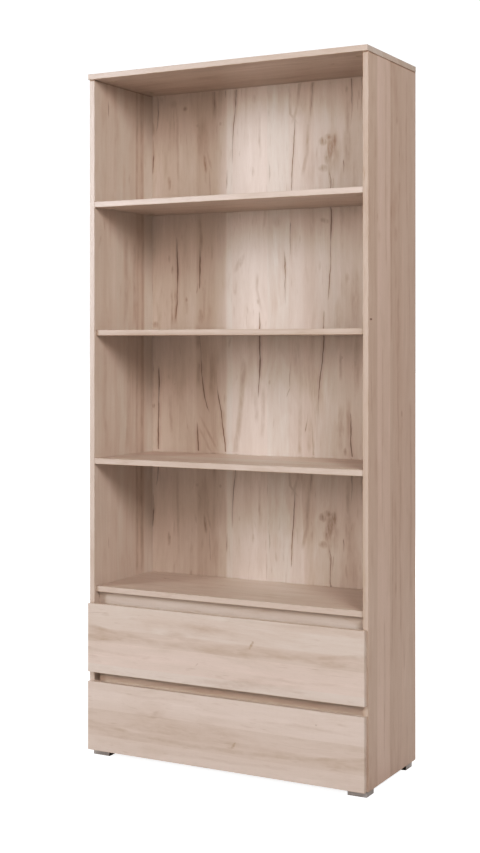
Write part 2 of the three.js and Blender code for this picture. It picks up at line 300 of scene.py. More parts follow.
    # tone: 0 is light, 1 is dark
    tone = T.m("MULTIPLY_ADD", T.m("SUBTRACT", s1[0], 0.5), T.m("MULTIPLY", i["Strips"], 0.28), -0.02)
    tone = T.m("MULTIPLY_ADD", T.m("SUBTRACT", s2[0], 0.5), T.m("MULTIPLY", i["Strips"], 0.08), tone)
    tone = T.m("MULTIPLY_ADD", T.m("SUBTRACT", broad, 0.5), 0.62, tone)
    tone = T.m("MULTIPLY_ADD", T.m("SUBTRACT", mid, 0.5), T.m("MULTIPLY", i["Fibre"], 0.24), tone)
    tone = T.m("MULTIPLY_ADD", T.m("SUBTRACT", fine, 0.5), T.m("MULTIPLY", i["Fibre"], 0.34), tone)
    tone = T.m("MULTIPLY_ADD", fig, 0.09, tone)
    tone = T.m("MULTIPLY_ADD", blot, 0.24, tone)
    tone = T.m("MULTIPLY_ADD", fleck, -0.16, tone)
    tone = T.m("MULTIPLY_ADD", tone, i["Contrast"], 0.36)
    return {"Tone": tone, "Pink": s1[1], "Crack": crack, "Smudge": smudge, "Pore": pore, "Fine": fine, "Mid": mid, "Wander": wander}


DECOR = group("oak_decor", ("U", "V", "Seed", "Wild", "Contrast", "Strips", "Fibre"),
              ("Tone", "Pink", "Crack", "Smudge", "Pore", "Fine", "Mid", "Wander"), build_decor)


def build_finish(T, i):
    tone, mid, fine = i["Tone"], i["Mid"], i["Fine"]
    light = T.mix(i["Pink"], OAK_LIGHT, OAK_PINK)
    color = T.mix(T.band(tone, 0.0, 0.5, 0.0, 1.0, False), light, OAK_MID)
    color = T.mix(T.band(tone, 0.5, 1.15, 0.0, 1.0, False), color, OAK_DARK)
    color = T.mix(T.m("MULTIPLY", i["Pore"], 0.10), color, OAK_DARK)
    color = T.mix(T.m("MULTIPLY", i["Smudge"], 0.85, clamp=True), color, OAK_KNOT)
    color = T.mix(T.band(i["Crack"], 0.03, 0.60, 0.0, 0.80), color, OAK_CRACK)
    relief = T.m("MULTIPLY_ADD", fine, 0.35, T.m("MULTIPLY", i["Pore"], -0.5))
    relief = T.m("MULTIPLY_ADD", i["Crack"], -0.8, relief)
    ro = T.m("MULTIPLY_ADD", T.m("SUBTRACT", fine, 0.5), 0.10, 0.40)
    ro = T.m("MULTIPLY_ADD", i["Crack"], 0.15, ro)
    # next to an arris: the seam of the edge band, and the worn, slightly paler arris itself
    near = i["Near"]
    seam = T.m("MULTIPLY", T.band(near, 0.0007, 0.0010), T.band(near, 0.0010, 0.0013, 1.0, 0.0))
    worn = T.m("MULTIPLY", T.band(near, 0.0001, 0.0009, 1.0, 0.0), T.band(mid, 0.35, 0.62))
    color = T.mix(T.m("MULTIPLY", worn, 0.30), color, OAK_LIGHT)
    color = T.mix(T.m("MULTIPLY", seam, 0.22), color, OAK_KNOT)
    relief = T.m("MULTIPLY_ADD", seam, -0.8, relief)
    ro = T.m("MULTIPLY_ADD", worn, -0.08, ro)
    return {"Color": color, "Roughness": ro, "Height": relief}


FINISH = group("oak_finish", ("Tone", "Pink", "Crack", "Smudge", "Pore", "Fine", "Mid", "Near"),
               ("Color", "Roughness", "Height"), build_finish)


def build_near(T, i):
    """How far a point of a box's surface is from the nearest arris."""
    a, b, c = (T.m("SUBTRACT", i["H" + k], T.m("ABSOLUTE", T.m("SUBTRACT", i[k], i["C" + k]))) for k in "XYZ")
    return {"Near": T.m("MAXIMUM", T.m("MINIMUM", a, b), T.m("MINIMUM", T.m("MAXIMUM", a, b), c))}


NEAR = group("arris", ("X", "Y", "Z", "CX", "CY", "CZ", "HX", "HY", "HZ"), ("Near",), build_near)


def build_chips(T, i):
    vo = T.add("ShaderNodeTexVoronoi", voronoi_dimensions="3D", feature="F1")
    T.put(T.vec(T.m("MULTIPLY", i["X"], 560.0), T.m("MULTIPLY", i["Y"], 560.0), T.m("MULTIPLY", i["Z"], 300.0)), vo.inputs["Vector"])
    T.put(1.0, vo.inputs["Scale"])
    return {"Color": T.mix(T.rgb(vo.outputs["Color"])[0], CHIP_LIGHT, CHIP_DARK), "Height": vo.outputs["Distance"]}


CHIPS = group("sawn_particleboard", ("X", "Y", "Z"), ("Color", "Height"), build_chips)


def lanes(items, lo, hi, most=30):
    """Shares features that lie along the grain out over as few ramps as needed.
    Each item is a list of (along, payload) in rising order."""
    done = []
    for item in sorted(items, key=lambda f: f[0][0]):
        for lane in done:
            if lane[-1][0] < item[0][0] - 0.003 and len(lane) + len(item) <= most:
                lane += item
                break
        else:
            done.append(list(item))
    return [[(min(1.0, max(0.0, (v - lo) / (hi - lo))), load) for v, load in lane] for lane in done]


SPAN = 0.45      # the ramps hold places from -SPAN to SPAN


def drawn(lines, fade):
    """(half width, [(across, along, depth), ...]) in mm as lane items, with faded ends."""
    items = []
    for width, points in lines:
        pts = sorted((along * 0.001, across * 0.001, depth) for across, along, depth in points)
        (v0, x0, d0), (v1, x1, d1) = pts[0], pts[1]
        (v2, x2, d2), (v3, x3, d3) = pts[-2], pts[-1]
        first = (v0 - fade, x0 - (x1 - x0) / (v1 - v0) * fade, 0.0)
        last = (v3 + fade, x3 + (x3 - x2) / (v3 - v2) * fade, 0.0)
        items.append([(v, (x, d, width * 0.001)) for v, x, d in (first, *pts, last)])
    return items


def features(T, u, v, lo, hi, cracks, streaks, shift=0.0):
    """Cracks and soft streaks at given places: (crack, smudge) sockets."""
    t = T.band(v, lo, hi, 0.0, 1.0, False)
    worn = T.noise(T.m("MULTIPLY", u, 55.0), T.m("MULTIPLY", v, 17.0), 71.0, 1.0, 2.0, 0.6)
    broken = T.band(worn, 0.30, 0.66, 0.25, 1.15, False)
    uneven = T.band(worn, 0.30, 0.62, 0.62, 1.08, False)
    crack, soft = 0.0, 0.0
    for kind, lines in (("crack", cracks), ("streak", streaks)):
        items = [[(along + shift, load) for along, load in item] for item in drawn(lines, 0.012 if kind == "crack" else 0.025)]
        for stops in lanes(items, lo, hi):
            out = T.ramp(t, [(q, ((x + SPAN) / (2 * SPAN), depth / 1.2, width / 0.016, 1.0)) for q, (x, depth, width) in stops])
            c = T.rgb(out["Color"])
            du = T.m("ABSOLUTE", T.m("SUBTRACT", u, T.m("MULTIPLY_ADD", c[0], 2 * SPAN, -SPAN)))
            rel = T.m("DIVIDE", du, T.m("MULTIPLY", c[2], 0.016))
            depth = T.m("MULTIPLY", T.m("MULTIPLY", c[1], 1.2), uneven if kind == "crack" else broken)
            if kind == "crack":
                crack = T.m("MAXIMUM", crack, T.m("SUBTRACT", depth, rel))
                soft = T.m("MAXIMUM", soft, T.m("MULTIPLY", T.m("MULTIPLY_ADD", rel, -0.25, depth), 0.36))
            else:
                fall = T.m("MULTIPLY_ADD", T.m("MULTIPLY", rel, rel), -1.0, 1.0)
                soft = T.m("MAXIMUM", soft, T.m("MULTIPLY", T.m("MAXIMUM", fall, 0.0), depth))
    return crack, soft


def patches(T, u, v, lo, hi, clouds, soft, patchy):
    """Clouded knots at given places, each (across, along, half width, half length, depth, slope)."""
    t = T.band(v, lo, hi, 0.0, 1.0, False)
    blot = 0.0
    items = []
    for x, zc, rx, rz, depth, *slope in clouds:
        k = slope[0] if slope else 0.0
        items.append([(zc + q * rz, (x + k * q * rz, h, rx, depth)) for q, h in ((-1, 0.0), (-0.6, 0.64), (0, 1.0), (0.6, 0.64), (1, 0.0))])
    for stops in lanes(items, lo, hi):
        out = T.ramp(t, [(q, ((x + SPAN) / (2 * SPAN), h, min(1.0, 0.003 / half), depth)) for q, (x, h, half, depth) in stops])
        c = T.rgb(out["Color"])
        q = T.m("MULTIPLY", T.m("SUBTRACT", u, T.m("MULTIPLY_ADD", c[0], 2 * SPAN, -SPAN)), T.m("MULTIPLY", c[2], 1 / 0.003))
        blot = T.m("MAXIMUM", blot, T.m("MULTIPLY", T.m("SUBTRACT", c[1], T.m("MULTIPLY", q, q)), out["Alpha"]))
    return T.m("MAXIMUM", soft, T.m("MULTIPLY", blot, patchy))


def oak(name, grain, across, seed, box=None, cracks=(), clouds=(), span=None, streaks=(), shift=0.0, repeat=False, tones=None,
        wild=0.5, contrast=1.0, raw=(), gate=None, strips=1.0, fibre=1.0, rear_hdf=None, painted_light_tone=0.0, spots=(), shade_tint=None, edge_band_and_shade=None, grime_and_painted_shade=None, underside_shade=None):
    """A board material. grain and across are axis letters; across may be two letters, whose
    coordinates are added so that the pattern also runs over the board's narrow edges."""
    T = Material(name)
    P = dict(zip("xyz", T.xyz()))
    v = P[grain]
    u = T.m("ADD", P[across[0]], P[across[1]]) if len(across) > 1 else P[across[0]]
    d = T.call(DECOR, U=u, V=v, Seed=seed, Wild=wild, Contrast=contrast, Strips=strips, Fibre=fibre)
    tone, crack, smudge = d["Tone"], d["Crack"], d["Smudge"]
    # painted light: a lower tone makes the whole board paler
    if painted_light_tone:
        tone = T.m("ADD", tone, painted_light_tone)
    # painted shade: below the given height, the board's underside is made darker, like the shade beneath a board
    if underside_shade:
        tone = T.m("MULTIPLY_ADD", T.m("LESS_THAN", P["z"], underside_shade[0]), underside_shade[1], tone)
    # the board's front strip (its narrow front face and the first 1.2 mm) is darker: partly the edge band's own tone,
    # partly painted shade, with the amount set board by board
    if edge_band_and_shade:
        tone = T.m("MULTIPLY_ADD", T.m("LESS_THAN", P["y"], edge_band_and_shade[0]), edge_band_and_shade[1], tone)

    if cracks or clouds:
        lo, hi = span
        fv = v
        if repeat:
            fv = T.m("ADD", T.m("FLOORED_MODULO", T.m("SUBTRACT", v, lo), DECOR_REPEAT), lo)
        wave = T.noise(T.m("MULTIPLY", u, 10.0), T.m("MULTIPLY", fv, 16.0), seed + 51.0, 1.0, 2.0, 0.6)
        fu = T.m("MULTIPLY_ADD", T.m("SUBTRACT", wave, 0.5), 0.007, P[across[0]])
        own, soft = features(T, fu, fv, lo, hi, cracks, streaks, shift)
        if clouds:
            fu2 = T.m("MULTIPLY_ADD", T.m("SUBTRACT", d["Mid"], 0.5), 0.012, fu)
            patchy = T.band(T.noise(T.m("MULTIPLY", u, 130.0), T.m("MULTIPLY", fv, 30.0), seed + 57.0, 1.0, 2.0, 0.65), 0.32, 0.66, 0.25, 1.15, False)
            soft = patches(T, fu2, fv, lo, hi, clouds, soft, patchy)
        for x, zc, half, width, depth, *slope in spots:
            dv = T.m("SUBTRACT", fv, zc)
            du = T.m("SUBTRACT", T.m("MULTIPLY_ADD", dv, -slope[0], fu), x) if slope else T.m("SUBTRACT", fu, x)
            a, b = T.m("MULTIPLY", du, 1 / width), T.m("MULTIPLY", dv, 1 / half)
            own = T.m("MAXIMUM", own, T.m("MULTIPLY_ADD", T.m("MULTIPLY_ADD", a, a, T.m("MULTIPLY", b, b)), -depth, depth))
        if gate:
            axis, side, at = gate
            g = T.m("GREATER_THAN" if side > 0 else "LESS_THAN", P[axis], at)
            own, soft = T.m("MULTIPLY", own, g), T.m("MULTIPLY", soft, g)
            if wild > 0:
                keep = T.m("MULTIPLY_ADD", g, -0.8, 1.0)
                crack, smudge = T.m("MULTIPLY", crack, keep), T.m("MULTIPLY", smudge, keep)
        crack = T.m("MAXIMUM", crack, own)
        smudge = T.m("MAXIMUM", smudge, soft)

    rosy = d["Pink"]
    if tones:
        axis, steps = tones
        at = T.m("MULTIPLY_ADD", d["Wander"], 0.25, P[axis])
        lo, hi = steps[0][0], steps[-1][0]
        stops = []
        for (p, value, *pink), (p2, *_) in zip(steps, steps[1:]):
            q = (value * 0.5 + 0.5, pink[0] if pink else 0.5, 0.5, 1.0)
            stops += [((p - lo) / (hi - lo) + (0.0025 if stops else 0), q), ((p2 - lo) / (hi - lo) - 0.0025, q)]
        out = T.ramp(T.band(at, lo, hi, 0.0, 1.0, False), stops)
        c = T.rgb(out["Color"])
        tone = T.m("ADD", tone, T.m("MULTIPLY_ADD", c[0], 2.0, -1.0))
        rosy = T.m("MULTIPLY_ADD", T.m("SUBTRACT", d["Pink"], 0.5), 0.7, c[1], True)

    if grime_and_painted_shade:      # painted shade: the narrow shadow right below the overhanging top board, darkened into the side panel's colour
        tone = T.m("MULTIPLY_ADD", T.band(P["z"], grime_and_painted_shade - 0.0030, grime_and_painted_shade + 0.0010), 0.75, tone)
    near = 1.0
    if box is not None:
        lo3, hi3 = box
        c = [(a + b) / 2 for a, b in zip(lo3, hi3)]
        h = [(b - a) / 2 for a, b in zip(lo3, hi3)]
        near = T.call(NEAR, X=P["x"], Y=P["y"], Z=P["z"], CX=c[0], CY=c[1], CZ=c[2], HX=h[0], HY=h[1], HZ=h[2])["Near"]
    f = T.call(FINISH, Tone=tone, Pink=rosy, Crack=crack, Smudge=smudge, Pore=d["Pore"], Fine=d["Fine"], Mid=d["Mid"], Near=near)
    color, ro, relief = f["Color"], f["Roughness"], f["Height"]
    # painted shade: the right side panel's outer face (x beyond 0.439) is tinted browner, the colour that face shows in
    # shade
    if shade_tint:
        color = T.mix(T.m("GREATER_THAN", P["x"], shade_tint[0]), color, shade_tint[1], "MULTIPLY")

    if raw:
        chips = T.call(CHIPS, X=P["x"], Y=P["y"], Z=P["z"])
        mask = 0.0
        for axis, side, at in raw:
            mask = T.m("MAXIMUM", mask, T.m("GREATER_THAN" if side > 0 else "LESS_THAN", P[axis], at))
        color = T.mix(mask, color, chips["Color"])
        ro = T.m("MULTIPLY_ADD", mask, 0.30, ro)
        relief = T.m("MULTIPLY_ADD", T.m("MULTIPLY", chips["Height"], mask), 1.2, relief)
    if rear_hdf is not None:
        mask = T.m("GREATER_THAN", P["y"], rear_hdf)
        n1 = T.noise(P["x"], P["z"], 4.0, 900.0, 2.0, 0.65)
        n2 = T.noise(P["x"], P["z"], 9.0, 9.0, 3.0, 0.6)
        n3 = T.noise(T.m("MULTIPLY", P["x"], 40.0), T.m("MULTIPLY", P["z"], 260.0), 2.0, 1.0, 3.0, 0.7)
        speck = T.m("MULTIPLY_ADD", n1, 0.62, T.m("MULTIPLY_ADD", n3, 0.26, T.m("MULTIPLY", n2, 0.12)))
        color = T.mix(mask, color, T.mix(T.band(speck, 0.34, 0.66), HDF_DARK, HDF_LIGHT))
        ro = T.m("MULTIPLY_ADD", mask, 0.26, ro)
    return T.surface(color, ro, T.bump(relief, 0.00022, 0.6), Specular_IOR_Level=0.80)


B = Z_EDGE
# Cracks, soft streaks and clouded knots of the back's face. Each crack and streak is
# (half width, [(across, height, depth), ...]) in mm from the side panels' lower edge.
BACK_CRACKS = [
    (3.0, [(-404, 1946, 0.5), (-402, 1895, 0.6), (-405, 1855, 0.5), (-410, 1838, 0.3)]),
    (4.0, [(-421, 1805, 0.3), (-420, 1755, 0.8), (-423, 1712, 0.5)]),
    (3.8, [(-127, 1946, 0.5), (-131, 1900, 0.62), (-136, 1850, 0.64), (-140, 1800, 0.60), (-142, 1755, 0.55), (-142, 1722, 0.3)]),
    (3.0, [(68, 1848, 0.4), (67, 1815, 0.5), (66, 1780, 0.8), (62, 1730, 0.8), (59, 1680, 0.75), (57, 1622, 0.6)]),
    (3.0, [(128, 1946, 0.45), (123, 1890, 0.42), (118, 1850, 0.35), (112, 1810, 0.2)]),
    (3.2, [(250, 1946, 0.6), (252, 1900, 0.70), (252, 1860, 0.5), (249, 1822, 0.4), (247, 1805, 0.2)]),
    (2.4, [(-18, 1730, 0.2), (-15, 1700, 0.55), (-15, 1680, 0.6), (-17, 1658, 0.2)]),
    (2.4, [(-221, 1706, 0.3), (-219, 1660, 0.5), (-217, 1622, 0.4)]),
    (3.0, [(181, 1672, 0.5), (185, 1655, 0.6), (184, 1625, 0.8), (184, 1577, 0.7)]),
    (2.6, [(192, 1655, 0.5), (191, 1632, 0.5), (190, 1615, 0.3)]),
    (3.2, [(226, 1712, 0.3), (225, 1705, 0.7), (226, 1692, 0.6), (225, 1676, 0.3)]),
    (2.4, [(-158, 1700, 0.3), (-160, 1665, 0.6), (-161, 1650, 0.4)]),
    (2.4, [(-26, 1647, 0.3), (-24, 1610, 0.45), (-24, 1577, 0.35)]),
    (2.4, [(283, 1946, 0.5), (282, 1880, 0.4), (281, 1830, 0.25)]),
    (3.0, [(-164, 1946, 0.6), (-164, 1925, 0.4)]),
    (2.8, [(-202, 1946, 0.5), (-203, 1900, 0.55), (-204, 1876, 0.3)]),
    (3.8, [(-336, 1500, 0.35), (-335, 1450, 0.75), (-333, 1400, 0.9), (-333, 1360, 0.9), (-335, 1310, 0.8), (-340, 1258, 0.4)]),
    (3.8, [(-253, 1472, 0.4), (-253, 1440, 0.85), (-254, 1400, 0.9), (-256, 1352, 0.7)]),
    (2.6, [(-262, 1362, 0.4), (-265, 1338, 0.6)]),
    (2.2, [(54, 1530, 0.6), (53, 1490, 0.7), (54, 1445, 0.4)]),
    (3.0, [(34, 1450, 0.4), (37, 1410, 0.85), (37, 1390, 0.8), (36, 1355, 0.65), (38, 1300, 0.3)]),
    (2.8, [(186, 1570, 0.9), (187, 1545, 0.9), (186, 1515, 0.95), (185, 1480, 0.55), (184, 1430, 0.65), (183, 1400, 0.75),
           (180, 1350, 0.85), (178, 1325, 0.8), (175, 1305, 0.4)]),
    (3.4, [(-49, 1270, 0.4), (-48, 1235, 0.75), (-49, 1218, 0.9), (-48, 1160, 1.0), (-47, 1120, 1.0), (-50, 1080, 0.85),
           (-52, 1050, 0.8), (-53, 1022, 0.5)]),
    (3.0, [(162, 1268, 0.6), (161, 1235, 0.6), (162, 1205, 0.9), (160, 1160, 0.95), (155, 1110, 0.95), (150, 1080, 0.9),
           (147, 1048, 0.7), (144, 990, 0.5), (143, 955, 0.35), (139, 900, 0.2)]),
    (2.2, [(-353, 1325, 0.3), (-353, 1255, 0.3)]),
    (3.6, [(-400, 1105, 0.5), (-400, 1090, 0.8), (-400, 1050, 0.85), (-401, 1000, 0.8), (-402, 940, 0.85), (-403, 850, 0.85)]),
    (3.2, [(-257, 1218, 0.5), (-251, 1170, 0.5), (-249, 1130, 0.6), (-247, 1080, 0.75), (-243, 1045, 0.85), (-238, 1015, 0.85),
           (-229, 985, 0.8), (-222, 972, 0.3)]),
    (2.2, [(-256, 1112, 0.5), (-258, 1068, 0.4)]),
    (2.8, [(-196, 1095, 0.3), (-193, 1040, 0.45), (-188, 1012, 0.9), (-180, 975, 0.95), (-176, 945, 0.9), (-172, 912, 1.0),
           (-167, 878, 1.0), (-165, 850, 0.9)]),
    (3.0, [(-263, 932, 0.5), (-262, 905, 0.9), (-261, 880, 0.95), (-259, 850, 0.85)]),
    (2.4, [(55, 1120, 0.3), (53, 1080, 0.55), (52, 1057, 0.6)]),
    (2.6, [(51, 1043, 0.5), (44, 1027, 0.45)]),
    (2.2, [(112, 975, 0.3), (108, 945, 0.5), (103, 924, 0.65)]),
    (2.2, [(125, 945, 0.3), (127, 895, 0.5), (129, 850, 0.6)]),
    (3.2, [(247, 975, 0.5), (248, 930, 0.85), (249, 890, 0.85), (253, 850, 0.9)]),
    (3.0, [(334, 1720, 0.4), (337, 1660, 0.8), (335, 1590, 0.85), (331, 1540, 0.4)]),
    (2.6, [(392, 1890, 0.5), (395, 1820, 0.8), (393, 1760, 0.5)]),
    (3.2, [(318, 1400, 0.4), (321, 1340, 0.9), (317, 1270, 0.8), (318, 1220, 0.4)]),
    (2.4, [(378, 1490, 0.4), (376, 1420, 0.7), (379, 1365, 0.4)]),
    (3.0, [(362, 1130, 0.5), (359, 1060, 0.9), (352, 1000, 0.8), (350, 950, 0.4)]),
    (2.6, [(406, 1010, 0.4), (404, 950, 0.7), (407, 890, 0.6)]),
    (2.6, [(308, 930, 0.3), (311, 885, 0.6), (309, 850, 0.5)]),
]
BACK_STREAKS = [
    (9, [(-128, 1946, 0.50), (-132, 1890, 0.45), (-137, 1840, 0.25)]),
    (7, [(85, 1946, 0.55), (80, 1915, 0.55), (76, 1880, 0.40), (66, 1848, 0.50)]),
    (6, [(50, 1918, 0.40), (51, 1880, 0.45), (52, 1856, 0.45), (60, 1846, 0.40)]),
    (7, [(112, 1815, 0.40), (108, 1770, 0.50), (108, 1740, 0.50), (98, 1692, 0.55)]),
    (8, [(127, 1946, 0.60), (123, 1890, 0.50), (118, 1850, 0.30)]),
    (6, [(-333, 1865, 0.35), (-332, 1750, 0.30), (-330, 1650, 0.25)]),
    (5, [(-250, 1800, 0.30), (-228, 1760, 0.40), (-218, 1722, 0.35)]),
    (5, [(-48, 1850, 0.20), (-49, 1780, 0.40), (-47, 1752, 0.35)]),
    (6, [(178, 1700, 0.40), (180, 1670, 0.35), (184, 1645, 0.40)]),
    (9, [(240, 1860, 0.40), (238, 1830, 0.50), (240, 1790, 0.40)]),
    (9, [(-205, 1946, 0.40), (-203, 1900, 0.50), (-203, 1876, 0.30)]),
    (6, [(-354, 1325, 0.45), (-353, 1255, 0.50)]),
    (8, [(-254, 1540, 0.35), (-250, 1490, 0.45), (-253, 1450, 0.30)]),
    (6, [(-340, 1330, 0.50), (-341, 1262, 0.60)]),
    (6, [(-56, 1368, 0.40), (-58, 1340, 0.35), (-51, 1312, 0.45), (-46, 1290, 0.25)]),
    (5, [(-238, 1330, 0.30), (-240, 1270, 0.40)]),
    (11, [(-103, 1112, 0.30), (-106, 1060, 0.45), (-112, 1000, 0.45), (-118, 950, 0.45), (-124, 900, 0.45), (-130, 855, 0.40)]),
    (8, [(-36, 1030, 0.30), (-37, 980, 0.40), (-39, 920, 0.35)]),
    (9, [(-212, 1130, 0.40), (-211, 1080, 0.50), (-214, 1045, 0.40)]),
    (6, [(-243, 940, 0.30), (-222, 905, 0.40), (-203, 872, 0.35)]),
    (6, [(-247, 905, 0.30), (-232, 880, 0.35), (-222, 858, 0.35)]),
    (9, [(241, 1000, 0.35), (240, 960, 0.45), (240, 900, 0.30)]),
    (7, [(-359, 1000, 0.30), (-357, 950, 0.40), (-356, 925, 0.30)]),
    (12, [(-262, 1215, 0.50), (-260, 1180, 0.45)]),
    (10, [(-255, 1115, 0.45), (-259, 1065, 0.40)]),
    (8, [(88, 1120, 0.20), (86, 930, 0.30), (84, 862, 0.40)]),
    (8, [(118, 940, 0.35), (115, 880, 0.40)]),
    (6, [(215, 1130, 0.40), (216, 1090, 0.35)]),
    (9, [(-61, 1015, 0.30), (-60, 960, 0.35)]),
    (12, [(335, 1480, 0.30), (338, 1400, 0.45), (330, 1330, 0.30)]),
    (10, [(372, 1200, 0.30), (366, 1100, 0.45), (352, 1010, 0.30)]),
    (10, [(350, 1900, 0.35), (346, 1800, 0.45), (336, 1700, 0.35)]),
]
BACK_CLOUDS = [
    (-0.306, 1.899 + B, 0.008, 0.009, 0.60),
    (0.160, 1.769 + B, 0.017, 0.015, 0.76),
    (0.177, 1.779 + B, 0.019, 0.013, 0.72),
    (0.197, 1.768 + B, 0.012, 0.026, 0.82),
    (0.185, 1.744 + B, 0.018, 0.037, 0.90),
    (0.176, 1.722 + B, 0.015, 0.034, 0.78),
    (0.163, 1.690 + B, 0.021, 0.013, 0.60),
    (0.190, 1.735 + B, 0.030, 0.080, 0.36),
    (0.238, 1.740 + B, 0.016, 0.090, 0.32),
    (0.262, 1.620 + B, 0.014, 0.110, 0.24),
    (0.222, 1.560 + B, 0.012, 0.060, 0.22),
    (0.262, 1.310 + B, 0.017, 0.105, 0.34),
    (0.205, 1.230 + B, 0.012, 0.085, 0.32),
    (0.268, 1.120 + B, 0.014, 0.095, 0.36),
    (0.235, 1.915 + B, 0.006, 0.012, 0.60),
    (-0.066, 1.910 + B, 0.008, 0.015, 0.35),
    (-0.348, 1.915 + B, 0.015, 0.015, 0.30),
    (0.362, 1.830 + B, 0.008, 0.030, 0.50),
    (0.339, 1.470 + B, 0.010, 0.018, 0.60),
    (0.392, 1.170 + B, 0.007, 0.012, 0.60),
    (0.331, 1.030 + B, 0.006, 0.020, 0.50),
    (-0.235, 1.726 + B, 0.008, 0.034, 0.85, -0.10),
    (-0.240, 1.790 + B, 0.022, 0.090, 0.22),
    (-0.262, 1.844 + B, 0.005, 0.007, 0.60),
    (-0.182, 1.844 + B, 0.005, 0.007, 0.55),
    (-0.070, 1.693 + B, 0.007, 0.018, 0.42),
    (-0.118, 1.750 + B, 0.004, 0.010, 0.30),
    (-0.362, 1.679 + B, 0.006, 0.008, 0.55),
    (0.110, 1.800 + B, 0.013, 0.120, 0.26, 0.08),
    (0.085, 1.880 + B, 0.030, 0.040, 0.22),
    (-0.352, 1.406 + B, 0.005, 0.017, 0.85),
    (-0.365, 1.440 + B, 0.006, 0.014, 0.35),
    (-0.300, 1.313 + B, 0.004, 0.010, 0.75),
    (-0.117, 1.419 + B, 0.014, 0.032, 0.40, 0.55),
    (0.166, 1.536 + B, 0.016, 0.010, 0.65, -0.8),
    (0.236, 1.366 + B, 0.007, 0.020, 0.42),
    (-0.252, 1.262 + B, 0.014, 0.026, 0.50),
    (-0.051, 1.305 + B, 0.007, 0.012, 0.50),
    (-0.411, 1.238 + B, 0.016, 0.012, 0.60),
    (0.010, 1.540 + B, 0.022, 0.020, 0.22),
    (0.075, 1.140 + B, 0.014, 0.060, 0.30),
    (0.140, 1.010 + B, 0.012, 0.090, 0.26),
    (-0.015, 1.063 + B, 0.006, 0.009, 0.60),
    (-0.345, 1.054 + B, 0.003, 0.004, 0.60),
    (0.221, 1.138 + B, 0.004, 0.004, 0.80),
    (-0.419, 0.986 + B, 0.006, 0.010, 0.75),
    (-0.245, 1.120 + B, 0.020, 0.090, 0.24),
    (-0.205, 1.090 + B, 0.016, 0.080, 0.20, 0.2),
    (0.128, 0.880 + B, 0.006, 0.020, 0.40),
    (0.231, 0.866 + B, 0.006, 0.014, 0.60),
    (0.215, 0.930 + B, 0.014, 0.075, 0.32),
    (-0.364, 0.576 + 1.097 + B, 0.006, 0.026, 0.60),
]
# tone strips of the back: each starts at its first number (metres across), 0 is the board's mean
BACK_TONES = ("x", [(-0.44, 0.0), (-0.3305, 0.02, 0.55), (-0.2655, 0.22, 0.45), (-0.2000, 0.14, 0.45), (-0.1615, -0.16, 0.12), (0.0490, -0.04, 0.30),
                    (0.0850, 0.00, 0.35), (0.0980, 0.10, 0.60), (0.1300, 0.04, 0.45), (0.2310, 0.12, 0.55), (0.44, 0.0)])


def side_box(node):
    lo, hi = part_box(node)
    return tuple(lo), tuple(hi)


def use(node, material):
    o = nodes[node]
    if not o.material_slots:
        raise RuntimeError(node)
    for s in o.material_slots:
        s.material = material


def soften(node, width, segments=2, weld=1e-5, angle=30):
    """Rounds a board's arrises a little. The mesh itself stays as it is."""
    o = nodes[node] if isinstance(node, str) else node
    w = o.modifiers.new("weld", "WELD")
    w.merge_threshold = weld
    b = o.modifiers.new("bevel", "BEVEL")
    b.width = width
    b.segments = segments
    b.limit_method = "ANGLE"
    b.angle_limit = math.radians(angle)
    b.use_clamp_overlap = True
    b.harden_normals = True
    n = o.modifiers.new("normals", "WEIGHTED_NORMAL")
    n.keep_sharp = False
    n.weight = 60


# ------------------------------------------------------------------ boards
# side panels: across is mm from the front edge
SIDE_R_CRACKS = [
    (2.2, [(217, 1730, 0.3), (217, 1700, 0.5), (219, 1672, 0.3)]),
    (2.2, [(20, 1130, 0.3), (21, 1060, 0.45), (19, 1000, 0.3)]),
    (2.4, [(188, 650, 0.3), (191, 560, 0.45), (194, 480, 0.3)]),
    (2.0, [(62, 820, 0.3), (59, 700, 0.4), (61, 590, 0.3)]),
    (2.2, [(287, 1450, 0.3), (291, 1300, 0.45), (294, 1150, 0.3)]),
    (2.2, [(248, 400, 0.3), (251, 300, 0.5), (250, 210, 0.3)]),
    (2.2, [(196, 1920, 0.3), (199, 1860, 0.45), (196, 1800, 0.3)]),
]
SIDE_R_STREAKS = [
    (7, [(160, 1940, 0.2), (163, 1700, 0.3), (158, 1450, 0.35), (160, 1200, 0.2)]),
    (5, [(120, 1900, 0.2), (118, 1650, 0.3), (121, 1400, 0.2)]),
    (6, [(208, 1300, 0.25), (205, 1100, 0.35), (209, 860, 0.25)]),
    (5, [(96, 1150, 0.2), (99, 950, 0.3), (95, 700, 0.2)]),
    (7, [(225, 820, 0.25), (221, 620, 0.35), (226, 400, 0.25)]),
    (6, [(165, 760, 0.2), (168, 560, 0.3), (163, 330, 0.25)]),
    (6, [(46, 1750, 0.15), (44, 1500, 0.25), (48, 1320, 0.15)]),
    (5, [(110, 420, 0.2), (113, 250, 0.3), (108, 90, 0.2)]),
    (8, [(300, 1000, 0.25), (304, 750, 0.3), (298, 500, 0.25)]),
    (6, [(270, 1900, 0.25), (266, 1700, 0.3), (272, 1520, 0.2)]),
]
SIDE_R_CLOUDS = [
    (-0.16075 + 0.200, 1.791 + B, 0.009, 0.014, 0.55),
    (-0.16075 + 0.196, 1.850 + B, 0.016, 0.090, 0.22),
    (-0.16075 + 0.217, 1.701 + B, 0.007, 0.009, 0.42),
    (-0.16075 + 0.215, 1.600 + B, 0.010, 0.030, 0.25),
    (-0.16075 + 0.190, 1.478 + B, 0.016, 0.026, 0.28),
    (-0.16075 + 0.062, 1.515 + B, 0.006, 0.018, 0.30),
    (-0.16075 + 0.235, 0.983 + B, 0.008, 0.011, 0.60),
    (-0.16075 + 0.190, 0.506 + B, 0.010, 0.022, 0.45),
    (-0.16075 + 0.075, 1.465 + B, 0.022, 0.016, 0.20),
]
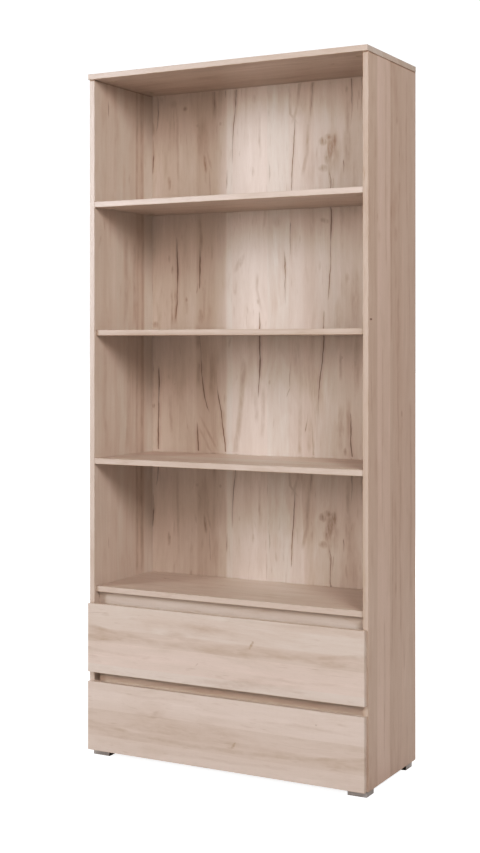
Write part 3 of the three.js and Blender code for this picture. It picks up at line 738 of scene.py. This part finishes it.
SIDE_L_CRACKS = [
    (2.6, [(74, 1894, 0.4), (74, 1871, 0.7), (74, 1850, 0.4)]),
    (2.0, [(75, 1835, 0.15), (74, 1760, 0.20), (75, 1640, 0.15)]),
    (2.4, [(214, 1455, 0.2), (215, 1400, 0.40), (216, 1330, 0.25)]),
    (2.0, [(80, 1380, 0.15), (79, 1320, 0.25), (81, 1270, 0.15)]),
    (2.4, [(203, 1150, 0.2), (206, 1080, 0.35), (205, 1000, 0.2)]),
    (2.0, [(133, 1060, 0.15), (129, 980, 0.25), (131, 920, 0.15)]),
    (2.6, [(74, 604, 0.35), (75, 586, 0.60), (74, 572, 0.30)]),
]
SIDE_L_STREAKS = [
    (8, [(230, 1940, 0.34), (231, 1800, 0.40), (229, 1640, 0.30), (236, 1450, 0.22), (234, 1290, 0.26), (230, 1000, 0.30), (227, 860, 0.30), (230, 760, 0.44), (231, 500, 0.42)]),
    (10, [(258, 1940, 0.48), (257, 1800, 0.44), (260, 1640, 0.36), (265, 1450, 0.34), (264, 1290, 0.30), (259, 1050, 0.34), (258, 880, 0.46), (256, 760, 0.46), (258, 500, 0.38)]),
    (14, [(170, 1480, 0.24), (173, 1370, 0.32), (167, 1262, 0.24)]),
    (12, [(218, 1480, 0.26), (215, 1370, 0.32), (220, 1262, 0.26)]),
    (12, [(110, 1940, 0.12), (115, 1800, 0.20), (108, 1650, 0.12)]),
    (14, [(180, 1200, 0.20), (185, 1040, 0.28), (178, 880, 0.20)]),
    (12, [(60, 1180, 0.12), (56, 1020, 0.20), (62, 880, 0.12)]),
]
SIDE_L_CLOUDS = [
    (-0.16075 + 0.052, 1.531 + B, 0.006, 0.022, 0.45, -0.2),
    (-0.16075 + 0.030, 1.478 + B, 0.008, 0.022, 0.35, 0.3),
    (-0.16075 + 0.188, 1.676 + B, 0.006, 0.020, 0.35),
    (-0.16075 + 0.118, 1.712 + B, 0.006, 0.030, 0.22),
    (-0.16075 + 0.275, 1.760 + B, 0.018, 0.050, 0.22),
]
SIDE_R_SPOTS = [(-0.16075 + 0.018, 1.242 + B, 0.0035, 0.0100, 0.75)]
SIDE_R_TONES = ("y", [(-0.165, 0.19, 0.85), (-0.1000, -0.14, 0.95), (-0.0110, 0.14, 0.45), (0.0755, 0.04, 0.98), (0.18, 0.0)])
# on the left panel, the last strip (from 0.109 to the back) is paler: partly the decor's strip tone, partly painted
# light against the shade in the corner at the back
SIDE_L_TONES = ("y", [(-0.165, 0.0, 0.40), (-0.0875, -0.03, 0.40), (-0.0060, 0.03, 0.35), (0.0610, 0.15, 0.30), (0.1090, -0.11, 0.35), (0.18, 0.0)])
SIDE_SPAN = (0.010, 1.970)

for word, s, lines, soft, clouds, tones, spots in (("right", 1, SIDE_R_CRACKS, SIDE_R_STREAKS, SIDE_R_CLOUDS, SIDE_R_TONES, SIDE_R_SPOTS),
                                                   ("left", -1, SIDE_L_CRACKS, SIDE_L_STREAKS, SIDE_L_CLOUDS, SIDE_L_TONES, ())):
    name = f"side_panel_{word}"
    use(name, oak(f"oak_side_{word}", "z", "yx", 2.3 if s > 0 else 8.9, side_box(name),
                  [(w, [(a + Y_EDGE * 1000, b, d) for a, b, d in pts]) for w, pts in lines], clouds, SIDE_SPAN,
                  [(w, [(a + Y_EDGE * 1000, b, d) for a, b, d in pts]) for w, pts in soft], Z_EDGE,
                  tones=tones, spots=spots, wild=0.4, contrast=0.75, strips=0.45,
                  shade_tint=(0.4390, (1.012, 0.948, 0.925)) if s > 0 else None, edge_band_and_shade=(Y_EDGE + 0.0012, 0.29 if s > 0 else 0.14), fibre=0.8, grime_and_painted_shade=1.9626,
                  raw=[("y", 1, REAR - 0.0006), ("z", -1, Z_EDGE + 0.0004)],
                  gate=("x", 1, 0.432) if s > 0 else ("x", 1, -0.432)))

use("top_panel", oak("oak_top", "x", "yz", 14.2, side_box("top_panel"), wild=0.7, contrast=0.85, edge_band_and_shade=(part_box("top_panel")[0].y + 0.0012, 0.32), underside_shade=(1.9646, 0.40),
                     raw=[("y", 1, REAR - 0.0006)]))
for i, name in enumerate(("bottom_panel", "drawer_top_panel", "shelf_lower", "shelf_middle", "shelf_upper")):
    # the front edges are darkened by a different amount on each board: painted shade on top of the edge band's own tone
    use(name, oak(f"oak_{name}", "x", "yz", 21.0 + 6.3 * i, side_box(name), wild=0.6, contrast=0.75, edge_band_and_shade=(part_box(name)[0].y + 0.0012, {"drawer_top_panel": 0.08, "shelf_upper": 0.22, "shelf_middle": 0.44}.get(name, 0.30)),
                  # painted shade on each board's underside, deepest under the upper shelf
                  underside_shade=(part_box(name)[0].z + 0.0006, 0.30 if name == "shelf_upper" else 0.1),
                  raw=[("y", 1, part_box(name)[1].y - 0.0006)]))
for i, name in enumerate(("rail_upper", "rail_middle")):
    # painted light: the middle rail, set back in the shade behind the drawer fronts, is made paler
    use(name, oak(f"oak_{name}", "x", "zy", 61.0 + 4.1 * i, side_box(name), wild=0.35, contrast=0.8, painted_light_tone=(-0.02, -0.18)[i]))

# fronts: (half width, [(height, across, depth), ...]), the grain runs across
FRONT_CRACKS = {
    "upper": [
        (2.0, [(398, -432, 0.30), (400, -405, 0.40), (404, -372, 0.30)]),
        (1.8, [(236, 60, 0.20), (238, 110, 0.28), (247, 180, 0.20)]),
        (1.8, [(300, 395, 0.20), (298, 340, 0.28), (292, 290, 0.15)]),
    ],
    "lower": [
        (1.8, [(112, -260, 0.20), (122, -200, 0.30), (130, -140, 0.15)]),
        (1.8, [(96, 180, 0.15), (95, 260, 0.25), (99, 350, 0.20)]),
        (1.8, [(150, -330, 0.20), (140, -290, 0.28), (134, -250, 0.15)]),
    ],
}
FRONT_STREAKS = {
    "upper": [
        (10, [(362, -440, 0.50), (352, -380, 0.52), (343, -300, 0.45), (334, -210, 0.36), (328, -100, 0.36), (327, 20, 0.36),
             (329, 110, 0.32), (336, 230, 0.40), (344, 330, 0.48), (352, 400, 0.50), (357, 440, 0.45)]),
        (12, [(350, -440, 0.28), (338, -330, 0.30), (330, -200, 0.28), (336, -60, 0.20), (345, 60, 0.20), (340, 200, 0.26), (345, 330, 0.30), (352, 440, 0.25)]),
        (10, [(384, -160, 0.20), (386, -60, 0.32), (380, 40, 0.22)]),
        (9, [(240, -60, 0.20), (244, 60, 0.34), (252, 160, 0.25)]),
        (6, [(420, 40, 0.15), (416, 180, 0.25), (421, 320, 0.20)]),
        (6, [(292, -430, 0.20), (286, -300, 0.26), (290, -170, 0.15)]),
        (5, [(272, 120, 0.15), (268, 240, 0.25), (275, 360, 0.20)]),
    ],
    "lower": [
        (9, [(83, -440, 0.50), (75, -370, 0.50), (65, -280, 0.46), (60, -190, 0.42), (57, -80, 0.42), (58, 60, 0.42),
             (62, 170, 0.46), (69, 280, 0.48), (78, 370, 0.48), (87, 440, 0.45)]),
        (12, [(70, -440, 0.30), (58, -300, 0.28), (70, -160, 0.22), (84, -20, 0.20), (74, 140, 0.22), (66, 280, 0.28), (72, 440, 0.28)]),
        (10, [(124, -260, 0.20), (128, -205, 0.34), (120, -140, 0.20)]),
        (10, [(100, -60, 0.15), (104, 20, 0.26), (98, 110, 0.15)]),
        (5, [(178, -380, 0.15), (174, -240, 0.24), (180, -90, 0.15)]),
        (6, [(30, -120, 0.15), (26, 30, 0.25), (32, 200, 0.15)]),
        (5, [(150, 120, 0.15), (154, 250, 0.24), (148, 390, 0.18)]),
    ],
}
FRONT_CLOUDS = {
    "upper": [
        (0.362 + B, 0.1045, 0.0065, 0.0055, 0.90, 0.5),
        (0.355 + B, 0.1010, 0.0075, 0.0065, 1.05, 0.5),
        (0.348 + B, 0.0970, 0.0065, 0.0065, 0.90, 0.5),
        (0.342 + B, 0.0850, 0.0070, 0.0220, 0.40, 0.2),
        (0.384 + B, -0.060, 0.026, 0.0800, 0.26),
        (0.362 + B, -0.140, 0.012, 0.0500, 0.20),
        (0.244 + B, 0.060, 0.020, 0.0900, 0.30, 0.2),
        (0.330 + B, -0.330, 0.012, 0.1400, 0.30),
        (0.332 + B, 0.340, 0.014, 0.1200, 0.28),
        (0.398 + B, -0.375, 0.008, 0.0160, 0.35),
    ],
    "lower": [
        (0.081 + B, 0.0500, 0.0065, 0.0055, 0.80, 0.5),
        (0.074 + B, 0.0460, 0.0075, 0.0065, 1.00, 0.5),
        (0.067 + B, 0.0420, 0.0065, 0.0065, 0.80, 0.5),
        (0.062 + B, 0.0300, 0.0060, 0.0200, 0.36, 0.2),
        (0.100 + B, 0.010, 0.022, 0.0700, 0.22),
        (0.090 + B, -0.160, 0.026, 0.1600, 0.24),
        (0.128 + B, -0.205, 0.014, 0.0380, 0.32, 0.4),
        (0.064 + B, 0.380, 0.014, 0.1000, 0.26),
        (0.052 + B, -0.300, 0.010, 0.1400, 0.22),
    ],
}
FRONT_SPOTS = {
    "upper": [(0.285 + B, -0.070, 0.0070, 0.0040, 0.22, 0.8)],
    "lower": [(0.162 + B, 0.296, 0.0040, 0.0030, 0.30)],
}
FRONT_TONES = {
    "upper": ("z", [(0.18 + B, -0.09), (0.3175 + B, 0.14), (0.3560 + B, 0.03), (0.45 + B, 0.0)]),
    "lower": ("z", [(-0.02 + B, -0.05), (0.0450 + B, 0.11), (0.1220 + B, -0.11), (0.22 + B, 0.0)]),
}
for level, seed in (("upper", 71.3), ("lower", 83.9)):
    name = f"drawer_{level}_front"
    use(name, oak(f"oak_{name}", "x", "zy", seed, side_box(name),
                  [(w, [(a + Z_EDGE * 1000, b, d) for a, b, d in pts]) for w, pts in FRONT_CRACKS[level]], FRONT_CLOUDS[level], (-0.47, 0.47),
                  [(w * 0.85, [(a + Z_EDGE * 1000, b, d * 0.68) for a, b, d in pts]) for w, pts in FRONT_STREAKS[level]],
                  tones=FRONT_TONES[level], spots=FRONT_SPOTS[level], wild=0.0, contrast=0.72, strips=0.35, gate=("y", -1, -0.165)))


# ------------------------------------------------------------------ thin back panels
back_mat = oak("oak_back_panel", "z", "xy", 5.7, None, BACK_CRACKS, BACK_CLOUDS, (0.849 + B, 0.849 + B + DECOR_REPEAT),
               BACK_STREAKS, Z_EDGE, repeat=True, tones=BACK_TONES, wild=0.0, contrast=0.85, strips=0.55, rear_hdf=0.1608)
use("back_panel_upper", back_mat)
use("back_panel_lower", back_mat)


# ------------------------------------------------------------------ drawer boxes
for i, level in enumerate(("upper", "lower")):
    for j, word in enumerate(("left", "right")):
        name = f"drawer_{level}_side_{word}"
        use(name, oak(f"oak_{name}", "y", "zx", 101.0 + 9 * i + 4 * j, side_box(name), wild=0.0, contrast=0.5, strips=0.5))
    name = f"drawer_{level}_back"
    use(name, oak(f"oak_{name}", "x", "zy", 131.0 + 9 * i, side_box(name), wild=0.0, contrast=0.5, strips=0.5))
    name = f"drawer_{level}_bottom"
    use(name, oak(f"oak_{name}", "x", "yz", 151.0 + 9 * i, None, wild=0.0, contrast=0.45, strips=0.4))


# ------------------------------------------------------------------ metal and plastic
def steel_mat(name, base, rough, seed, drawn="y"):
    T = Material(name)
    x, y, z = T.xyz()
    P = {"x": x, "y": y, "z": z}
    q = [T.m("MULTIPLY", P[a], 18.0 if a == drawn else 1400.0) for a in "xyz"]
    lines = T.noise(q[0], q[1], q[2], 1.0, 3.0, 0.6)
    cloudy = T.noise(T.m("ADD", x, seed), y, z, 38.0, 3.0, 0.55)
    grime_and_painted_shade = T.band(T.noise(x, T.m("ADD", y, seed), z, 120.0, 4.0, 0.6), 0.55, 0.78)
    color = T.mix(T.band(cloudy, 0.35, 0.65), tuple(c * 0.90 for c in base), tuple(min(1.0, c * 1.06) for c in base))
    color = T.mix(T.m("MULTIPLY", grime_and_painted_shade, 0.22), color, tuple(c * 0.62 for c in base))
    color = T.mix(T.m("MULTIPLY", T.band(lines, 0.42, 0.60, 1.0, 0.0), 0.12), color, tuple(c * 0.75 for c in base))
    ro = T.m("MULTIPLY_ADD", T.m("SUBTRACT", lines, 0.5), 0.16, rough)
    ro = T.m("MULTIPLY_ADD", grime_and_painted_shade, 0.14, ro)
    normal = T.bump(T.m("ADD", T.m("MULTIPLY", lines, 0.6), T.m("MULTIPLY", cloudy, 0.4)), 0.00006, 0.5)
    return T.surface(color, ro, normal, Metallic=1.0)


runner_mat = steel_mat("zinc_plated_steel", lin(196, 199, 203), 0.30, 3.1)
screw_mat = steel_mat("screw_steel", lin(188, 190, 192), 0.26, 9.4, "x")
ball_mat = steel_mat("ball_steel", lin(205, 207, 210), 0.12, 6.2, "x")
cage_mat = steel_mat("cage_steel", lin(176, 176, 174), 0.36, 8.2)
cam_mat = steel_mat("cast_zinc", lin(158, 158, 156), 0.46, 12.7, "z")


def foot_silver_mat():
    T = Material("foot_silver")
    x, y, z = T.xyz()
    brushed = T.noise(T.m("MULTIPLY", x, 60.0), T.m("MULTIPLY", y, 60.0), T.m("MULTIPLY", z, 2600.0), 1.0, 3.0, 0.6)
    cloudy = T.noise(x, y, z, 30.0, 3.0, 0.5)
    dust = T.band(z, 0.0, 0.007, 1.0, 0.0)
    dust = T.m("MULTIPLY", dust, T.band(T.noise(x, y, z, 240.0, 4.0, 0.6), 0.4, 0.7))
    base = lin(206, 200, 199)
    color = T.mix(T.band(cloudy, 0.3, 0.7), tuple(c * 0.92 for c in base), tuple(c * 1.05 for c in base))
    color = T.mix(T.m("MULTIPLY", dust, 0.35), color, lin(150, 140, 132))
    ro = T.m("MULTIPLY_ADD", T.m("SUBTRACT", brushed, 0.5), 0.12, 0.36)
    ro = T.m("MULTIPLY_ADD", dust, 0.2, ro)
    return T.surface(color, ro, T.bump(brushed, 0.00004, 0.5), Metallic=0.45)


def plastic_mat(name, base, rough, grain_scale, seed=0.0, level=0.4):
    T = Material(name)
    x, y, z = T.xyz()
    grain = T.noise(x, y, z, grain_scale, 3.0, 0.6)
    cloudy = T.noise(x, T.m("ADD", y, seed), z, 26.0, 3.0, 0.5)
    scuff = T.band(T.noise(T.m("MULTIPLY", x, 3.0), y, T.m("MULTIPLY", z, 3.0), 90.0, 5.0, 0.7), 0.60, 0.74)
    color = T.mix(T.band(cloudy, 0.3, 0.7), tuple(c * 0.86 for c in base), tuple(min(1.0, c * 1.10) for c in base))
    color = T.mix(T.m("MULTIPLY", scuff, 0.16), color, tuple(min(1.0, c * 0.5 + 0.12) for c in base))
    ro = T.m("MULTIPLY_ADD", T.m("SUBTRACT", grain, 0.5), 0.14, rough)
    return T.surface(color, ro, T.bump(grain, 0.00008, 0.5), Specular_IOR_Level=level)


silver_mat = foot_silver_mat()
black_mat = plastic_mat("foot_black", lin(30, 26, 23), 0.55, 1500.0)
strip_mat = plastic_mat("strip_plastic", lin(216, 208, 196), 0.5, 1200.0, 2.0)
cap_mat = plastic_mat("cap_plastic", lin(198, 178, 160), 0.45, 1200.0, 4.0)

for name in nodes:
    if name.startswith("runner_"):
        use(name, runner_mat)
    elif name.startswith("shelf_pin_"):
        use(name, screw_mat)
    elif name.startswith("foot_cover_"):
        use(name, silver_mat)
    elif name.startswith("foot_block_"):
        use(name, black_mat)
use("back_joining_strip", strip_mat)

for name in nodes:
    if name.startswith(("side_panel", "top_panel", "bottom_panel", "drawer_top_panel", "shelf_lower", "shelf_middle", "shelf_upper", "rail_")):
        soften(name, 0.0007)
    elif name.endswith("_front"):
        soften(name, 0.0009, 3)
    elif "_side_" in name or name.endswith("_back"):
        soften(name, 0.0005)
    elif name.startswith("runner_"):
        soften(name, 0.00035, 2)
    elif name.startswith("foot_cover"):
        soften(name, 0.0003, 2)
    elif name.startswith("foot_block"):
        soften(name, 0.0005, 2)
    elif name.startswith("shelf_pin"):
        soften(name, 0.0003, 2)


# ------------------------------------------------------------------ small hardware in mesh code
def piece(name, bm, material, body, smooth=True, angle=35):
    me = bpy.data.meshes.new(name)
    bm.normal_update()
    bm.to_mesh(me)
    bm.free()
    if smooth:
        me.shade_smooth()
        me.set_sharp_from_angle(angle=math.radians(angle))
    me.materials.append(material)
    o = bpy.data.objects.new(name, me)
    bpy.context.scene.collection.objects.link(o)
    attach(o, body)
    return o


def lathe(bm, profile, n, matrix):
    """A turned solid: profile is (radius, height) from the axis to the axis."""
    rings = []
    for r, h in profile:
        if r < 1e-9:
            rings.append([bm.verts.new(matrix @ Vector((0, 0, h)))])
        else:
            rings.append([bm.verts.new(matrix @ Vector((r * math.cos(2 * math.pi * k / n), r * math.sin(2 * math.pi * k / n), h))) for k in range(n)])
    for a, b in zip(rings, rings[1:]):
        for k in range(n):
            j = (k + 1) % n
            if len(a) == 1:
                bm.faces.new((a[0], b[k], b[j]))
            elif len(b) == 1:
                bm.faces.new((a[k], b[0], a[j])) if False else bm.faces.new((a[j], a[k], b[0]))
            else:
                bm.faces.new((a[k], b[k], b[j], a[j]))


def cross_head(bm, radius, dome, arm, width, depth, matrix, n=40, skirt=0.0):
    """A round head with a cross recess, its axis along local +Z, its seat at z = 0.
    The recess is cut into the top by vertices of its own, so it is real geometry."""
    # polar grid whose inner part follows the cross outline
    half = width / 2
    corners = []
    for q in range(4):
        a = q * math.pi / 2
        for px, py in ((arm, -half), (arm, half), (half, half)):
            corners.append((px * math.cos(a) - py * math.sin(a), px * math.sin(a) + py * math.cos(a)))
    m = len(corners)

    def top(r):
        t = min(1.0, r / radius)
        return skirt + dome * (1 - t * t) + dome * 0.25

    def ring(points):
        return [bm.verts.new(matrix @ Vector((x, y, z))) for x, y, z in points]

    inner = ring([(x, y, top(math.hypot(x, y)) - depth) for x, y in (tuple(c * 0.82 for c in p) for p in corners)])
    rim = ring([(x, y, top(math.hypot(x, y))) for x, y in corners])
    angles = [math.atan2(y, x) for x, y in corners]
    mids = ring([(0.5 * (x + radius * 0.8 * math.cos(a)), 0.5 * (y + radius * 0.8 * math.sin(a)),
                  top(0.5 * (math.hypot(x, y) + radius * 0.8))) for (x, y), a in zip(corners, angles)])
    outer = ring([(radius * 0.86 * math.cos(a), radius * 0.86 * math.sin(a), top(radius * 0.86)) for a in angles])
    edge = ring([(radius * math.cos(a), radius * math.sin(a), skirt + dome * 0.10) for a in angles])
    base = ring([(radius * math.cos(a), radius * math.sin(a), 0.0) for a in angles])
    centre = bm.verts.new(matrix @ Vector((0, 0, top(0) - depth * 1.25)))
    bottom = bm.verts.new(matrix @ Vector((0, 0, 0)))
    for k in range(m):
        j = (k + 1) % m
        bm.faces.new((inner[k], inner[j], centre))
        for a, b in ((rim, inner), (mids, rim), (outer, mids), (edge, outer), (base, edge)):
            bm.faces.new((a[k], a[j], b[j], b[k]))
        bm.faces.new((base[j], base[k], bottom))


def frame_at(origin, zaxis, xaxis=None):
    z = Vector(zaxis).normalized()
    x = Vector(xaxis) if xaxis else (Vector((0, 1, 0)) if abs(z.y) < 0.9 else Vector((1, 0, 0)))
    x = (x - z * x.dot(z)).normalized()
    y = z.cross(x)
    m = Matrix((x, y, z)).transposed().to_4x4()
    m.translation = Vector(origin)
    return m


def block(bm, lo, hi):
    vs = [bm.verts.new((x, y, z)) for z in (lo[2], hi[2]) for y in (lo[1], hi[1]) for x in (lo[0], hi[0])]
    for f in ((0, 2, 3, 1), (4, 5, 7, 6), (0, 1, 5, 4), (2, 6, 7, 3), (0, 4, 6, 2), (1, 3, 7, 5)):
        bm.faces.new([vs[i] for i in f])


# eccentric cams in the drawer sides: a cast disc with a rim, a hub, an arrow and a cross recess
def cam(name, node, s, body):
    lo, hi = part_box(node)
    cy, cz = (lo.y + hi.y) / 2, (lo.z + hi.z) / 2
    face = lo.x if s > 0 else hi.x          # the visible face looks into the drawer
    out = -1.0 if s > 0 else 1.0            # direction from the cam into the drawer
    depth = hi.x - lo.x
    turn = math.radians(18 if "high" in name else -24)
    m = frame_at((face - out * depth, cy, cz), (out, 0, 0), (0, math.cos(turn), math.sin(turn)))
    bm = bmesh.new()
    r = (hi.z - lo.z) / 2
    n = 48
    # outer body with a chamfered rim and a sunk face
    d = depth
    lathe(bm, [(0, 0), (r * 0.96, 0), (r, 0.0004), (r, d - 0.0005), (r - 0.0004, d - 0.0001), (r - 0.0011, d - 0.0001),
               (r - 0.0014, d - 0.0008), (r * 0.58, d - 0.0008), (r * 0.54, d - 0.0002), (r * 0.50, d - 0.0001), (0, d - 0.0001)], n, m)
    cross_head(bm, r * 0.50, 0.00008, 0.0026, 0.0011, 0.00125, m @ Matrix.Translation((0, 0, d - 0.00012)), skirt=0.00002)
    # pointer on the rim
    for k in range(3):
        a0 = math.radians(-9 + 6 * k)
        p = [m @ Vector((rr * math.cos(a), rr * math.sin(a), zz)) for rr, a, zz in (
            (r * 0.62, a0, d - 0.00075), (r * 0.80, a0, d - 0.00075), (r * 0.80, a0 + 0.07, d - 0.00075), (r * 0.62, a0 + 0.07, d - 0.00075),
            (r * 0.63, a0 + 0.01, d - 0.0003), (r * 0.79, a0 + 0.01, d - 0.0003), (r * 0.79, a0 + 0.06, d - 0.0003), (r * 0.63, a0 + 0.06, d - 0.0003))]
        v = [bm.verts.new(q) for q in p]
        for f in ((3, 2, 1, 0), (4, 5, 6, 7), (0, 1, 5, 4), (1, 2, 6, 5), (2, 3, 7, 6), (3, 0, 4, 7)):
            bm.faces.new([v[i] for i in f])
    o = piece(name, bm, cam_mat, body, angle=28)
    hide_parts(node)
    return o


for level in ("upper", "lower"):
    for word, s in (("left", -1), ("right", 1)):
        for end in ("low", "high"):
            cam(f"cam_disc_{level}_{word}_{end}", f"cam_lock_{level}_{word}_{end}", s, f"drawer_{level}")

# runners: screws, ball cages and balls
RUN_SCREWS = (0.035, 0.131, 0.259)
for level in ("upper", "lower"):
    for word, s in (("left", -1), ("right", 1)):
        lo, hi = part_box(f"runner_{level}_{word}_cabinet")
        zc = (lo.z + hi.z) / 2
        y0 = lo.y

        def ux(u):
            return s * (INNER - u)

        bm = bmesh.new()
        for dy in RUN_SCREWS:
            cross_head(bm, 0.0036, 0.00045, 0.0019, 0.0008, 0.0005, frame_at((ux(0.00141), y0 + dy, zc), (-s, 0, 0)))
        piece(f"screws_{level}_{word}_cabinet", bm, screw_mat, "carcass", angle=28)
        bm = bmesh.new()
        for dy in (0.028, 0.124, 0.252):
            cross_head(bm, 0.0036, 0.0009, 0.0019, 0.0008, 0.0007, frame_at((ux(0.01169), y0 + dy, zc), (s, 0, 0)))
        piece(f"screws_{level}_{word}_drawer", bm, screw_mat, f"drawer_{level}", angle=28)

        # outer cage between cabinet and middle member, inner cage between middle and drawer member
        for kind, plate, zb, rb, ub, ya, yb, pitch in (
                ("outer", (0.00165, 0.00212), 0.01915, 0.00190, 0.0052, 0.006, 0.142, 0.0136),
                ("inner", (0.00372, 0.00418), 0.01425, 0.00155, 0.0071, 0.152, 0.286, 0.0134)):
            bm = bmesh.new()
            a, b = sorted((ux(plate[0]), ux(plate[1])))
            tab = 0.0003
            # plate with two folded lips that hold the balls
            block(bm, (a, y0 + ya, zc - zb + 0.0010), (b, y0 + yb, zc + zb - 0.0010))
            for sg in (-1, 1):
                z1, z2 = sorted((zc + sg * zb - tab, zc + sg * zb + tab))
                xa, xb = sorted((ux(plate[0]), ux(ub + rb + 0.0003)))
                k = 0
                y = y0 + ya
                while y < y0 + yb - 1e-6:
                    # lip between two balls
                    y_next = min(y + pitch, y0 + yb)
                    block(bm, (xa, y + rb * 0.9 + 0.0001, z1), (xb, y_next - rb * 0.9 + (0 if y_next < y0 + yb else rb * 0.9), z2))
                    y = y_next
                    k += 1
            bmesh.ops.bevel(bm, geom=bm.edges[:], offset=0.00008, segments=1, affect="EDGES", profile=0.5)
            piece(f"ball_cage_{kind}_{level}_{word}", bm, cage_mat, f"runner_member_{level}_{word}", smooth=False)
            bm = bmesh.new()
            for sg in (-1, 1):
                y = y0 + ya
                while y < y0 + yb - 1e-6:
                    mat4 = Matrix.Translation((ux(ub), y, zc + sg * zb))
                    bmesh.ops.create_icosphere(bm, subdivisions=3, radius=rb, matrix=mat4)
                    y += pitch
            piece(f"balls_{kind}_{level}_{word}", bm, ball_mat, f"runner_member_{level}_{word}", angle=180)

# caps over the carcass cams, on the underside of each fixed board
for name in ("top_panel", "shelf_upper", "shelf_lower", "drawer_top_panel"):
    lo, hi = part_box(name)
    bm = bmesh.new()
    for sx in (-1, 1):
        for y in (Y_EDGE + 0.052, Y_EDGE + 0.262):
            x = sx * (INNER - 0.034)
            m = frame_at((x, y, lo.z + 0.0001), (0, 0, -1))
            lathe(bm, [(0, 0), (0.0084, 0), (0.0085, 0.0003), (0.0082, 0.0007), (0.0074, 0.0010), (0.0040, 0.0011), (0.0034, 0.0009), (0, 0.0009)], 40, m)
    piece(f"cam_caps_{name}", bm, cap_mat, "carcass", angle=28)


# ------------------------------------------------------------------ floor, world and light
def make_floor():
    T = Material("studio_floor")
    x, y, z = T.xyz()
    n = T.noise(x, y, z, 1.3, 3.0, 0.5)
    grain = T.noise(x, y, z, 160.0, 2.0, 0.5)
    color = T.mix(T.band(n, 0.3, 0.7), (FLOOR_ALBEDO * 0.985,) * 3, (FLOOR_ALBEDO * 1.015,) * 3)
    T.surface(color, T.m("MULTIPLY_ADD", T.m("SUBTRACT", grain, 0.5), 0.06, 0.75), T.bump(grain, 0.0001, 0.3), Specular_IOR_Level=0.1)
    # the studio's own glow on the floor, which fades it into the white room
    d = T.m("SQRT", T.m("MULTIPLY_ADD", x, x, T.m("MULTIPLY", y, y)))
    glow = T.band(d, 0.2, 4.0, FLOOR_GLOW, 1.05)
    path = T.add("ShaderNodeLightPath")
    T.bsdf.inputs["Emission Color"].default_value = (1, 1, 1, 1)
    T.put(T.m("MULTIPLY", glow, path.outputs["Is Camera Ray"]), T.bsdf.inputs["Emission Strength"])
    bm = bmesh.new()
    bmesh.ops.create_circle(bm, cap_ends=True, radius=60.0, segments=96)
    me = bpy.data.meshes.new("floor")
    bm.to_mesh(me)
    bm.free()
    me.materials.append(T.mat)
    o = bpy.data.objects.new("floor", me)
    bpy.context.scene.collection.objects.link(o)


FLOOR_ALBEDO, FLOOR_GLOW = 0.62, 0.90
make_floor()


def area(name, direction, distance, size, power, color=(1, 1, 1), target=(0, 0, 1.0), tall=None):
    az, el = (math.radians(a) for a in direction)
    d = Vector((math.sin(az) * math.cos(el), -math.cos(az) * math.cos(el), math.sin(el)))
    data = bpy.data.lights.new(name, "AREA")
    data.shape = "RECTANGLE" if tall else "DISK"
    data.size = size
    if tall:
        data.size_y = tall
    data.energy = power
    data.color = color
    o = bpy.data.objects.new(name, data)
    o.location = Vector(target) + d * distance
    o.rotation_mode = "QUATERNION"
    o.rotation_quaternion = d.to_track_quat("Z", "Y")
    bpy.context.scene.collection.objects.link(o)
    return o


def make_world(strength, color=(1, 1, 1), seen=1.05):
    w = bpy.data.worlds.new("studio")
    bpy.context.scene.world = w
    w.use_nodes = True
    t = w.node_tree
    t.nodes.clear()
    out = t.nodes.new("ShaderNodeOutputWorld")
    amb = t.nodes.new("ShaderNodeBackground")
    amb.inputs[0].default_value = (*color, 1)
    amb.inputs[1].default_value = strength
    back = t.nodes.new("ShaderNodeBackground")
    back.inputs[0].default_value = (1, 1, 1, 1)
    back.inputs[1].default_value = seen
    path = t.nodes.new("ShaderNodeLightPath")
    mix = t.nodes.new("ShaderNodeMixShader")
    t.links.new(path.outputs["Is Camera Ray"], mix.inputs[0])
    t.links.new(amb.outputs[0], mix.inputs[1])
    t.links.new(back.outputs[0], mix.inputs[2])
    t.links.new(mix.outputs[0], out.inputs[0])


make_world(0.182, (1.0, 0.95, 0.90))
area("key", (-44, 15), 4.5, 0.9, 76, (0.985, 1.0, 1.035), tall=1.9)
area("fill", (46, 25), 4.5, 1.6, 99, (0.99, 1.0, 1.03))
area("front", (0, 15), 4.5, 1.0, 12, (1.0, 0.95, 0.90))
area("low", (0, 4), 4.5, 1.0, 11, (1.0, 0.95, 0.90), (0, 0, 0.7))
area("side", (100, 8), 4.5, 2.2, 7)
area("rear", (-150, 21), 4.5, 3.2, 118)
# light thrown between the fronts' edges, kept to the rail behind them
recess = area("recess", (-8, 25), 2.5, 1.2, 21, (1.0, 0.87, 0.79), (0, 0, 0.22))
recess_rail = bpy.data.collections.new("recess_rail")
recess_rail.objects.link(nodes["rail_middle"])
recess.light_linking.receiver_collection = recess_rail

scene = bpy.context.scene
scene.view_settings.view_transform = "Standard"
scene.view_settings.look = "None"
scene.view_settings.exposure = 0.0
scene.view_settings.gamma = 1.0
scene.view_settings.use_curve_mapping = True      # a photograph's gentle toe in the darks
curves = scene.view_settings.curve_mapping
tone_curve = curves.curves[3]
for x, y in ((0.064, 0.050), (0.125, 0.101), (0.190, 0.163), (0.263, 0.241), (0.344, 0.339), (0.446, 0.452), (0.553, 0.568), (0.679, 0.698), (0.828, 0.850)):
    tone_curve.points.new(x, y)
tone_curve.points[-1].location = (1.0, 1.02)
for channel, points in ((0, ((0.10, 0.107), (0.22, 0.229), (0.50, 0.505))), (2, ((0.10, 0.092), (0.22, 0.209), (0.50, 0.495)))):
    for x, y in points:
        curves.curves[channel].points.new(x, y)
curves.update()
scene.cycles.use_denoising = True
scene.cycles.max_bounces = 8
scene.cycles.diffuse_bounces = 2
scene.cycles.glossy_bounces = 4

bpy.context.view_layer.update()
